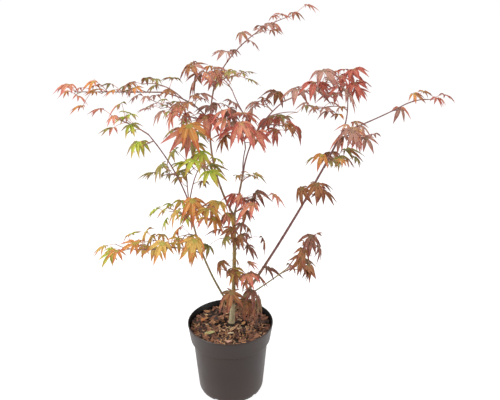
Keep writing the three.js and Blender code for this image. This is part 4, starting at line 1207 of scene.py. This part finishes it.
class Skeleton:
    """The trunk and boughs: their curves, and their bark meshes."""

    STOCK_SWELL = 1.26
    UNION_AT = 0.2
    UNION_SHARP = 60
    FLARE_SWELL = 0.14
    FLARE_HEIGHT = 9.0
    COLLAR_SWELL = 0.35
    COLLAR_LENGTH = 3
    COLLAR_FADE = 5
    JOINT_STEP = 34.0
    JOINT_SWELL = 0.14
    JOINT_WIDTH = 1.6
    RING_STEP = 2.6
    HANDLE_BACK = 0.1
    RELIEF = ((0.012, 0.10), (0.0035, 0.06))
    WELD = 0.00001

    def __init__(self) -> None:
        """Set every limb's curve from the limb that carries it."""
        self.curves: dict[str, Bow] = {}
        for plan in LIMBS:
            parent = self.curves.get(plan.parent)
            root = parent.point(plan.at) if parent else TRUNK_ROOT
            self.curves[plan.name] = Bow(root, plan.tip, plan.bow)

    def room(self) -> np.ndarray:
        """The space that all limbs take."""
        return np.concatenate([self.curves[plan.name].room(plan.radii) for plan in LIMBS])

    def swell(self, plan: LimbPlan, share: np.ndarray, length: float) -> np.ndarray:
        """How much wider a limb is than its plain taper.

        Args:
            plan: The limb.
            share: Shares of its length.
            length: Its length.

        Returns:
            A factor for each share.
        """
        along = share * length
        if plan.name == "trunk":
            stock = 1 / (1 + np.exp((share - self.UNION_AT) * self.UNION_SHARP))
            wide = 1 + (self.STOCK_SWELL - 1) * stock + self.FLARE_SWELL * np.exp(-along / self.FLARE_HEIGHT)
        else:
            past = np.maximum(0, along - self.COLLAR_LENGTH)
            wide = 1 + self.COLLAR_SWELL * np.exp(-past / self.COLLAR_FADE)
        joints = np.abs((along + 0.5 * self.JOINT_STEP) % self.JOINT_STEP - 0.5 * self.JOINT_STEP)
        return wide * (1 + self.JOINT_SWELL * np.exp(-((joints / self.JOINT_WIDTH) ** 2)))

    def limb(self, plan: LimbPlan) -> bpy.types.Object:
        """Model one limb: a bowed curve with its girth, made a mesh and given its relief.

        Args:
            plan: The limb.

        Returns:
            The finished piece.
        """
        bow = self.curves[plan.name]
        length = bow.length()
        deselect_all()
        bpy.ops.curve.primitive_bezier_curve_add(location=(0, 0, 0))
        limb = bpy.context.object
        limb.name = plan.name + "_bark"
        start, end = limb.data.splines[0].bezier_points
        for point, place in ((start, bow.root), (end, bow.tip)):
            inward = (place + (bow.control - place) * 2 / 3) * MM
            outward = (place - (bow.control - place) * self.HANDLE_BACK) * MM
            point.handle_left_type = point.handle_right_type = "FREE"
            point.co = place * MM
            point.handle_right, point.handle_left = (inward, outward) if point == start else (outward, inward)
        bpy.ops.object.mode_set(mode="EDIT")
        bpy.ops.curve.select_all(action="SELECT")
        bpy.ops.curve.subdivide(number_cuts=int(length / self.RING_STEP))
        bpy.ops.object.mode_set(mode="OBJECT")
        points = limb.data.splines[0].bezier_points
        share = np.linspace(0, 1, len(points))
        taper = tapered(plan.radii, share)
        for point, radius in zip(points, taper * self.swell(plan, share, length)):
            point.radius = radius
        limb.data.dimensions = "3D"
        limb.data.resolution_u = 1
        limb.data.bevel_depth = MM
        limb.data.bevel_resolution = (Girth.LIMB.value - 4) // 2
        limb.data.use_fill_caps = True
        bpy.ops.object.convert(target="MESH")
        limb = bpy.context.object
        self.relief(limb, float(taper.mean()))
        bpy.ops.object.shade_smooth()
        return limb

    def relief(self, limb: bpy.types.Object, girth: float) -> None:
        """Weld a limb's mesh and press the bark's relief into it.

        Args:
            limb: The limb's mesh.
            girth: Its mean radius, in millimetres.
        """
        with mesh_edit():
            bpy.ops.mesh.remove_doubles(threshold=self.WELD)
        for size, share in self.RELIEF:
            clouds = bpy.data.textures.new("bark_relief", "CLOUDS")
            clouds.noise_scale = size
            displace = limb.modifiers.new("relief", "DISPLACE")
            displace.texture = clouds
            displace.texture_coords = "LOCAL"
            displace.strength = girth * share * 2 * MM
            displace.mid_level = 0.5
        apply_modifiers(limb)

    def build(self, finishes: dict[str, Bark], slots: dict[str, str]) -> list[bpy.types.Object]:
        """Model every limb in its bark.

        Args:
            finishes: The bark of each material slot.
            slots: The material slot of each node.

        Returns:
            The finished limbs.
        """
        barks = {slot: finish.material() for slot, finish in finishes.items()}
        limbs = []
        for plan in LIMBS:
            limb = self.limb(plan)
            limb.data.materials.clear()
            limb.data.materials.append(barks[slots[plan.name]])
            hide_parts(plan.name)
            limbs.append(limb)
        return limbs


class Growth:
    """The rule by which leaves stand off a twig, the same as in the part's source."""

    SPIN_STEP = 60
    SPIN_SWING = 35
    STALK_LEAN = (0.3, 0.3, 0.3)
    STALK_LEAST = 20.0
    STALK_SPREAD = 16.0
    STALK_WAY = (0.85, 0.45, 0.3)
    BLADE_ONWARD = 0.3
    TURN_SWING = 40
    PITCH_SWING = 20
    ROLL_SWING = 32
    SIZE_LEAST = 0.8
    SIZE_SPREAD = 0.3
    DOME_LEAST = 0.4
    DOME_SPREAD = 0.5
    CLEAR_OF_LIMB = 4.0
    CLEAR_OF_OTHERS = 9.0
    CLEAR_OF_OWN = 8.5
    HUB_TEST = 0.02
    BLADE_TESTS = (0.3, 0.53, 0.76, 0.98)
    STALK_TESTS = (0.45, 0.7, 0.9)
    TRIES = 4
    SEAT_SHARE = 0.06
    TWIG_ROOM = (1.2, 1.2)
    LOBES = ((-78, 0.66), (-38, 0.9), (0, 1.0), (38, 0.9), (78, 0.66))
    REACH = 120.0
    HINGE = 0.4
    ARCH_LEAST = 0.6
    ARCH_GAIN = 1.2
    SHOOTS_FROM = 0.14
    SHOOT_WAY = (0.8, 0.5, 0.1)
    SHOOT_LEAN = (0.5, 0.5, 0.4)
    SHOOT_SIZE = 0.7
    SHOOT_STALK = 0.62
    SHOOT_LEAST = 8.0
    SHOOT_SPREAD = 20.0
    SHOOT_TRIES = 6
    SHOOT_CLEAR = 6.0
    SHOOT_CLEAR_OF_LIMB = 3.0

    def __init__(self, skeleton: Skeleton) -> None:
        """Find every twig's curve, and the space that limbs and twigs take."""
        self.limb_room = skeleton.room()
        self.curves = {}
        self.rooms = {}
        for plan in MASSES:
            curve = Bow(skeleton.curves[plan.limb].point(plan.at), plan.tip, plan.bow)
            self.curves[plan.name] = curve
            self.rooms[plan.name] = curve.room(self.TWIG_ROOM, self.SEAT_SHARE)
        self.grown = np.zeros((0, 4))

    def samples(self, leaf: Leaf) -> np.ndarray:
        """Points on a blade that are tested for room."""
        x, y = [self.HUB_TEST * leaf.length], [0.0]
        for angle, reach in self.LOBES:
            for share in self.BLADE_TESTS:
                out = share * reach * leaf.length
                x.append(out * math.cos(math.radians(angle)))
                y.append(out * math.sin(math.radians(angle)))
        return leaf.bend(np.array(x), np.array(y))

    def place_leaf(self, draws: Draws, node: np.ndarray, tangent: np.ndarray, out: np.ndarray,
                   plan: MassPlan) -> Leaf:
        """Place one leaf on its stalk.

        Args:
            draws: The mass's numbers.
            node: Where the stalk leaves the twig.
            tangent: The twig's direction there.
            out: The way the stalk leaves it.
            plan: The mass.

        Returns:
            The leaf.
        """
        away, onward, upward = self.STALK_WAY
        lean = draws.lean(self.STALK_LEAN)
        stalk = self.STALK_LEAST + self.STALK_SPREAD * draws.next()
        along = unit(out * away + tangent * onward + UP * upward + lean)
        level = unit((along + tangent * self.BLADE_ONWARD) * (1, 1, 0))
        turn = math.radians(draws.swing(self.TURN_SWING))
        heading = level * math.cos(turn) + np.cross(UP, level) * math.sin(turn)
        pitch = plan.droop + draws.swing(self.PITCH_SWING)
        roll = draws.swing(self.ROLL_SWING)
        length = plan.size * (self.SIZE_LEAST + self.SIZE_SPREAD * draws.next())
        dome = self.DOME_LEAST + self.DOME_SPREAD * draws.next()
        return Leaf(node, node + along * stalk, heading, pitch, roll, length, dome)

    @staticmethod
    def has_room(points: np.ndarray, others: np.ndarray, clear: float) -> bool:
        """Whether every point keeps its distance from every other thing."""
        apart = ((points[:, None, :3] - others[None, :, :3]) ** 2).sum(axis=2)
        return bool((apart >= (others[None, :, 3] + clear) ** 2).all())

    def near(self, others: np.ndarray, curve: Bow) -> np.ndarray:
        """The things that a leaf on a twig could come near."""
        along = curve.point(np.linspace(0, 1, 9))
        low, high = along.min(axis=0) - self.REACH, along.max(axis=0) + self.REACH
        inside = ((others[:, :3] >= low) & (others[:, :3] <= high)).all(axis=1)
        return others[inside]

    def around(self, plan: MassPlan) -> np.ndarray:
        """The limbs and other masses' twigs that a leaf of a mass could come near."""
        twigs = [room for name, room in self.rooms.items() if name != plan.name]
        return self.near(np.concatenate([self.limb_room, *twigs]), self.curves[plan.name])

    def grow(self, plan: MassPlan) -> list[Leaf]:
        """Grow one mass's pairs of leaves; a leaf that finds no room is left out.

        Args:
            plan: The mass.

        Returns:
            Its leaves.
        """
        curve = self.curves[plan.name]
        around = self.around(plan)
        others = self.near(self.grown, curve)
        draws = Draws(plan.seed)
        leaves = []
        own = np.zeros((0, 4))
        for i, share in enumerate(plan.shares()):
            node = curve.point(share)
            tangent = curve.tangent(share)
            level = unit(np.cross(tangent, UP))
            over = np.cross(level, tangent)
            spin = math.radians((i % 2) * self.SPIN_STEP + draws.swing(self.SPIN_SWING))
            axis = level * math.cos(spin) + over * math.sin(spin)
            for sign in (1, -1):
                for _ in range(self.TRIES):
                    leaf = self.place_leaf(draws, node, tangent, axis * sign, plan)
                    space = self.space(leaf)
                    if (self.has_room(self.samples(leaf), self.rooms[plan.name], self.CLEAR_OF_LIMB)
                            and self.has_room(space, around, self.CLEAR_OF_LIMB)
                            and self.has_room(space, others, self.CLEAR_OF_OTHERS)
                            and self.has_room(space, own, self.CLEAR_OF_OWN)):
                        leaf.share = share
                        leaves.append(leaf)
                        own = np.concatenate([own, space])
                        break
        self.grown = np.concatenate([self.grown, own])
        return leaves

    def relax(self, leaf: Leaf, plan: MassPlan) -> None:
        """Bring a leaf to its real size, and let it hang as its spray does."""
        hang = plan.habit.value
        leaf.length *= hang.size
        leaf.dome = hang.arch * (self.ARCH_LEAST + self.ARCH_GAIN * (leaf.dome - self.DOME_LEAST))
        leaf.hinge = self.HINGE
        leaf.hold(hang.fall + hang.fall_swing * (leaf.pitch - plan.droop) / self.PITCH_SWING,
                  hang.roll * leaf.roll / self.ROLL_SWING)

    def settle_leaves(self, leaves: dict[str, list[Leaf]]) -> None:
        """Let every leaf hang, and note the space that the leaves then take."""
        taken = []
        for plan in MASSES:
            for leaf in leaves[plan.name]:
                self.relax(leaf, plan)
                taken.append(self.space(leaf))
        self.grown = np.concatenate(taken)

    def space(self, leaf: Leaf) -> np.ndarray:
        """The points that a leaf and its stalk take, each with no radius."""
        stalk = [leaf.node + (leaf.hub - leaf.node) * k for k in self.STALK_TESTS]
        points = np.concatenate([self.samples(leaf), stalk])
        return np.column_stack([points, np.zeros(len(points))])

    def shoots(self, plan: MassPlan, reach: tuple[np.ndarray, np.ndarray]) -> Iterator[Shoot]:
        """Grow a mass's finer side shoots, each with a few small leaves, between its pairs.

        Args:
            plan: The mass.
            reach: Lowest and highest corner of the space that the mass keeps to.

        Yields:
            Each shoot that has a leaf.
        """
        curve = self.curves[plan.name]
        around = np.concatenate([self.around(plan), self.rooms[plan.name]])
        draws = Draws(plan.budding)
        small = replace(plan, size=plan.size * self.SHOOT_SIZE)
        aside, onward, upward = self.SHOOT_WAY
        for i in range(plan.shoots):
            share = self.SHOOTS_FROM + (1 - self.SHOOTS_FROM) * (i + 0.5) / plan.shoots
            tangent = curve.tangent(share)
            level = unit(np.cross(tangent, UP))
            lean = draws.lean(self.SHOOT_LEAN)
            along = unit(level * (1 if i % 2 else -1) * aside + tangent * onward + UP * upward + lean)
            root = curve.point(share)
            tip = root + along * (self.SHOOT_LEAST + self.SHOOT_SPREAD * draws.next())
            shoot = Shoot(root, tip, [])
            across = unit(np.cross(along, UP))
            for out in (across, -across, along):
                for _ in range(self.SHOOT_TRIES):
                    leaf = self.place_leaf(draws, tip, along, out, small)
                    leaf.hub = tip + (leaf.hub - tip) * self.SHOOT_STALK
                    self.relax(leaf, small)
                    space = self.space(leaf)
                    inside = (space[:, :3] >= reach[0]).all() and (space[:, :3] <= reach[1]).all()
                    if (inside and self.has_room(space, around, self.SHOOT_CLEAR_OF_LIMB)
                            and self.has_room(space, self.near(self.grown, curve), self.SHOOT_CLEAR)):
                        leaf.share = share
                        shoot.leaves.append(leaf)
                        self.grown = np.concatenate([self.grown, space])
                        break
            if shoot.leaves:
                yield shoot


class Blade:
    """The seven-lobed leaf blade, drawn flat for a leaf a unit long."""

    LOBES = ((-120, 0.3), (-82, 0.62), (-41, 0.88), (0, 1.0), (41, 0.88), (82, 0.62), (120, 0.3))
    SINUS = (0.08, 0.14, 0.19, 0.19, 0.14, 0.08)
    SINUS_LIFT = 0.03
    HEEL = (-0.03, 0.0, 0.012)
    UNEVEN_TURN = 4
    UNEVEN_REACH = 0.08
    HALF_WIDTH = 0.122
    WIDEST = 0.95
    DRAWN_OUT = 1.25
    SAG = (0.05, 0.4)
    SAG_FROM = 0.3
    NOTCHES = (0.4, 0.62, 0.84)
    SMALL_NOTCHES = (0.55,)
    NOTCH = 0.96
    TOOTH = 0.006
    TOOTH_BACK = 0.03
    BAND = 0.03
    BAND_FROM = 0.2
    FOLD = 0.55

    def half_width(self, share: float) -> float:
        """Half the width of a lobe at a share of its length, with a drawn-out tip."""
        return self.HALF_WIDTH * math.sin(math.pi * share ** self.WIDEST) ** self.DRAWN_OUT

    def draw(self, draws: np.random.Generator, close: float) -> tuple[np.ndarray, list, list]:
        """Draw one blade, with its lobes a little uneven.

        Args:
            draws: Seeded numbers.
            close: How wide the lobes are spread, as a share of wide open.

        Returns:
            Points as x, y and lift; faces; and for each face its part, plus its lobe times the
            number of parts.
        """
        angles = [math.radians(a * close + draws.normal(0, self.UNEVEN_TURN)) for a, _ in self.LOBES]
        reaches = [r * (1 + draws.normal(0, self.UNEVEN_REACH)) for _, r in self.LOBES]
        points = [(0.0, 0.0, 0.0)]
        faces: list[tuple[int, ...]] = []
        parts: list[int] = []
        heel = self.put(points, *self.HEEL)
        between = [heel]
        for k, sinus in enumerate(self.SINUS):
            middle = (angles[k] + angles[k + 1]) / 2
            place = (sinus * math.cos(middle), sinus * math.sin(middle), self.SINUS_LIFT)
            between.append(self.put(points, *place))
        between.append(heel)
        for k, (angle, reach) in enumerate(zip(angles, reaches)):
            notches = self.SMALL_NOTCHES if k in (0, len(angles) - 1) else self.NOTCHES
            sag = draws.uniform(*self.SAG)
            before = len(parts)
            self.lobe(points, faces, parts, angle, reach, sag, (between[k], between[k + 1]), notches)
            parts[before:] = [part + len(Part) * k for part in parts[before:]]
        return np.array(points), faces, parts

    @staticmethod
    def put(points: list, x: float, y: float, lift: float) -> int:
        """Add a point and give its index."""
        points.append((x, y, lift))
        return len(points) - 1

    def lobe(self, points: list, faces: list, parts: list, angle: float, reach: float, sag: float,
             starts: tuple[int, int], notches: Sequence[float]) -> None:
        """Add one lobe: a band up its middle, folded toothed halves on both sides, and its tip.

        Args:
            points: The blade's points so far.
            faces: Its faces so far.
            parts: The part each face is of.
            angle: The lobe's direction, in radians.
            reach: Its length.
            sag: How far its tip hangs below the others.
            starts: Points where its right and its left margin start.
            notches: Shares of its length where its margin is notched.
        """
        c, s = math.cos(angle), math.sin(angle)

        def at(along: float, across: float, lift: float) -> int:
            x, y = along * reach, across * reach
            low = sag * max(0.0, along - self.SAG_FROM) ** 1.5
            return self.put(points, x * c - y * s, x * s + y * c, lift - low)

        shares = (self.BAND_FROM, *notches)
        right, left = ([at(share, side * self.BAND * (1 - share), 0.0) for share in shares]
                       for side in (-1, 1))
        margins = []
        for side, start, band in ((-1, starts[0], right), (1, starts[1], left)):
            margin = [start]
            for j, share in enumerate(notches):
                wide = self.half_width(share)
                tooth = at(share - self.TOOTH_BACK, side * (wide + self.TOOTH), self.FOLD * wide)
                margin.append(at(share, side * wide * self.NOTCH, self.FOLD * wide))
                half = (band[j], band[j + 1], margin[j + 1], tooth, margin[j])
                faces.append(half if side > 0 else half[::-1])
                parts.append(Part.TIP if j == 2 else Part.BLADE)
            margins.append(margin)
        faces.append((0, starts[0], right[0], left[0], starts[1]))
        parts.append(Part.HEART)
        for j in range(len(notches)):
            faces.append((right[j], right[j + 1], left[j + 1], left[j]))
            parts.append(Part.RIB)
        tip = at(1.0, 0.0, 0.0)
        faces.append((right[-1], margins[0][-1], tip, margins[1][-1], left[-1]))
        parts.append(Part.TIP)


class Crown:
    """The foliage: leaves, stalks and twigs of every mass, gathered by material slot."""

    TWIG_RADII = (1.35, 0.75)
    TWIG_STEP = 2.5
    NODE_SWELL = 0.35
    NODE_WIDTH = 1.8
    SHOOT_RADII = (0.85, 0.6)
    STALK_RADII = (0.55, 0.4)
    STALK_FOOT = 1.7
    STALK_BOW = 0.06
    TWIG_TINT = PlainTint("twig_bark", "6f4438")
    SHOOT_TINT = PlainTint("green_shoot", "7a5a3c")
    STALK_TINT = PlainTint("leaf_stalk", "9c5a4c")
    LEAF_ROUGH = 0.62
    LEAF_SHINE = 0.25
    PROUD = 3.0
    TURNED = 0.35
    STRAY = 0.5

    def __init__(self, growth: Growth, slots: dict[str, str]) -> None:
        """Take the growth rule and the material slot of each mass."""
        self.growth = growth
        self.slots = slots
        self.blade = Blade()
        self.leaves = {slot: MeshBin() for slot in dict.fromkeys(slots[plan.name] for plan in MASSES)}
        self.twigs = MeshBin()
        self.stalks = MeshBin()
        self.draws = np.random.default_rng(8)

    def paint(self, gathered: MeshBin, tint: Autumn) -> list[int]:
        """The indices of a tint's parts in a joined piece."""
        paints = []
        for part in Part:
            name, code = part.name.lower(), getattr(tint.value, part.name.lower())
            finish = PlainTint(f"leaf_{tint.name.lower()}_{name}", code, self.LEAF_ROUGH, self.LEAF_SHINE)
            paints.append(gathered.paint(finish))
        return paints

    def deal(self, plan: MassPlan, leaf: Leaf) -> None:
        """Deal a leaf its two tints, by its place in the spray."""
        last = len(plan.spray) - 1
        reach = leaf.share * len(plan.spray) + self.draws.normal(0, self.STRAY)
        leaf.tint = plan.spray[int(np.clip(reach, 0, last))]
        leaf.second = plan.spray[int(np.clip(reach + self.draws.choice((-1, 1)), 0, last))]

    def dress_leaf(self, gathered: MeshBin, leaf: Leaf, hang: Hang) -> None:
        """Add one leaf's blade in its tints."""
        points, faces, parts = self.blade.draw(self.draws, self.draws.uniform(*hang.close))
        flat = points * leaf.length
        paints = []
        for _ in self.blade.LOBES:
            paints += self.paint(gathered, leaf.second if self.draws.uniform() < self.TURNED else leaf.tint)
        bent = leaf.bend(flat[:, 0], flat[:, 1], flat[:, 2])
        gathered.add(bent, faces, [paints[part] for part in parts])

    def dress_stalk(self, leaf: Leaf) -> None:
        """Add the leaf's stalk, a little bowed and thicker at its foot."""
        run = leaf.hub - leaf.node
        k = np.linspace(0, 1, 7)
        rise = UP * self.STALK_BOW * np.linalg.norm(run)
        points = leaf.node + np.outer(k, run) + np.outer(4 * k * (1 - k), rise)
        radii = tapered(self.STALK_RADII, k)
        radii[0] *= self.STALK_FOOT
        self.stalks.add_stem(points, radii, Girth.STALK, self.STALK_TINT)

    def dress_twig(self, plan: MassPlan) -> None:
        """Add a mass's twig, ringed at its nodes."""
        curve = self.growth.curves[plan.name]
        length = curve.length()
        k = np.linspace(0, 1, max(6, int(length / self.TWIG_STEP)))
        radii = tapered(self.TWIG_RADII, k)
        for share in plan.shares():
            radii *= 1 + self.NODE_SWELL * np.exp(-(((k - share) * length / self.NODE_WIDTH) ** 2))
        self.twigs.add_stem(curve.point(k), radii, Girth.TWIG, self.TWIG_TINT)

    def dress_shoot(self, shoot: Shoot) -> None:
        """Add a short side shoot."""
        k = np.linspace(0, 1, 6)
        points = shoot.root + np.outer(k, shoot.tip - shoot.root)
        self.twigs.add_stem(points, tapered(self.SHOOT_RADII, k), Girth.TWIG, self.SHOOT_TINT)

    def dress_mass(self, plan: MassPlan, pairs: list[Leaf]) -> None:
        """Dress one mass's twig, its side shoots and all its leaves.

        Args:
            plan: The mass.
            pairs: The leaves that stand in pairs on its twig.
        """
        self.dress_twig(plan)
        low, high = (np.array(corner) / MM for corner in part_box(plan.name))
        shoots = list(self.growth.shoots(plan, (low - self.PROUD, high + self.PROUD)))
        for shoot in shoots:
            self.dress_shoot(shoot)
        small = [leaf for shoot in shoots for leaf in shoot.leaves]
        for leaf in pairs + small:
            self.deal(plan, leaf)
            self.dress_leaf(self.leaves[self.slots[plan.name]], leaf, plan.habit.value)
            self.dress_stalk(leaf)
        LOG.info("%s: %d leaves and %d small ones", plan.name, len(pairs), len(small))

    def build(self) -> list[bpy.types.Object]:
        """Grow and dress every mass.

        Returns:
            The finished pieces.
        """
        leaves = {plan.name: self.growth.grow(plan) for plan in MASSES}
        self.growth.settle_leaves(leaves)
        for plan in MASSES:
            self.dress_mass(plan, leaves[plan.name])
        pieces = []
        for slot, gathered in self.leaves.items():
            piece = gathered.piece(slot)
            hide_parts(*(plan.name for plan in MASSES if self.slots[plan.name] == slot))
            pieces.append(piece)
        names = [plan.name for plan in MASSES]
        for gathered, name in ((self.twigs, "twigs"), (self.stalks, "leaf_stalks")):
            piece = gathered.piece(name)
            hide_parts(*names)
            pieces.append(piece)
        return pieces


BARKS = {
    "trunk_bark": Bark("trunk_bark", ("85785c", "a09474"), ("6e5a2c", "8a7444"), "a89c7c", (0.198, 0.212)),
    "bough_bark": Bark("bough_bark", ("665a34", "806f46"), ("6a4434", "7e5444"), "987f60", (0.3, 0.6)),
    "young_bark": Bark("young_bark", ("665636", "7c6846"), ("5c3634", "744844"), "8a6650", (0.23, 0.32)),
}


def main() -> None:
    """Build the plant piece by piece and report each one."""
    Camera().build()
    Studio().build()
    slots = {part["node"]: part["material_slot"] for part in frame["record"]["subparts"]}
    pot = NurseryPot().build()
    mulch = Mulch().build()
    skeleton = Skeleton()
    limbs = skeleton.build(BARKS, slots)
    crown = Crown(Growth(skeleton), slots).build()
    for piece in (pot, *mulch, *limbs, *crown):
        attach(piece, "root")
        LOG.info("%s: %d faces", piece.name, len(piece.data.polygons))


if __name__ == "__main__":
    main()
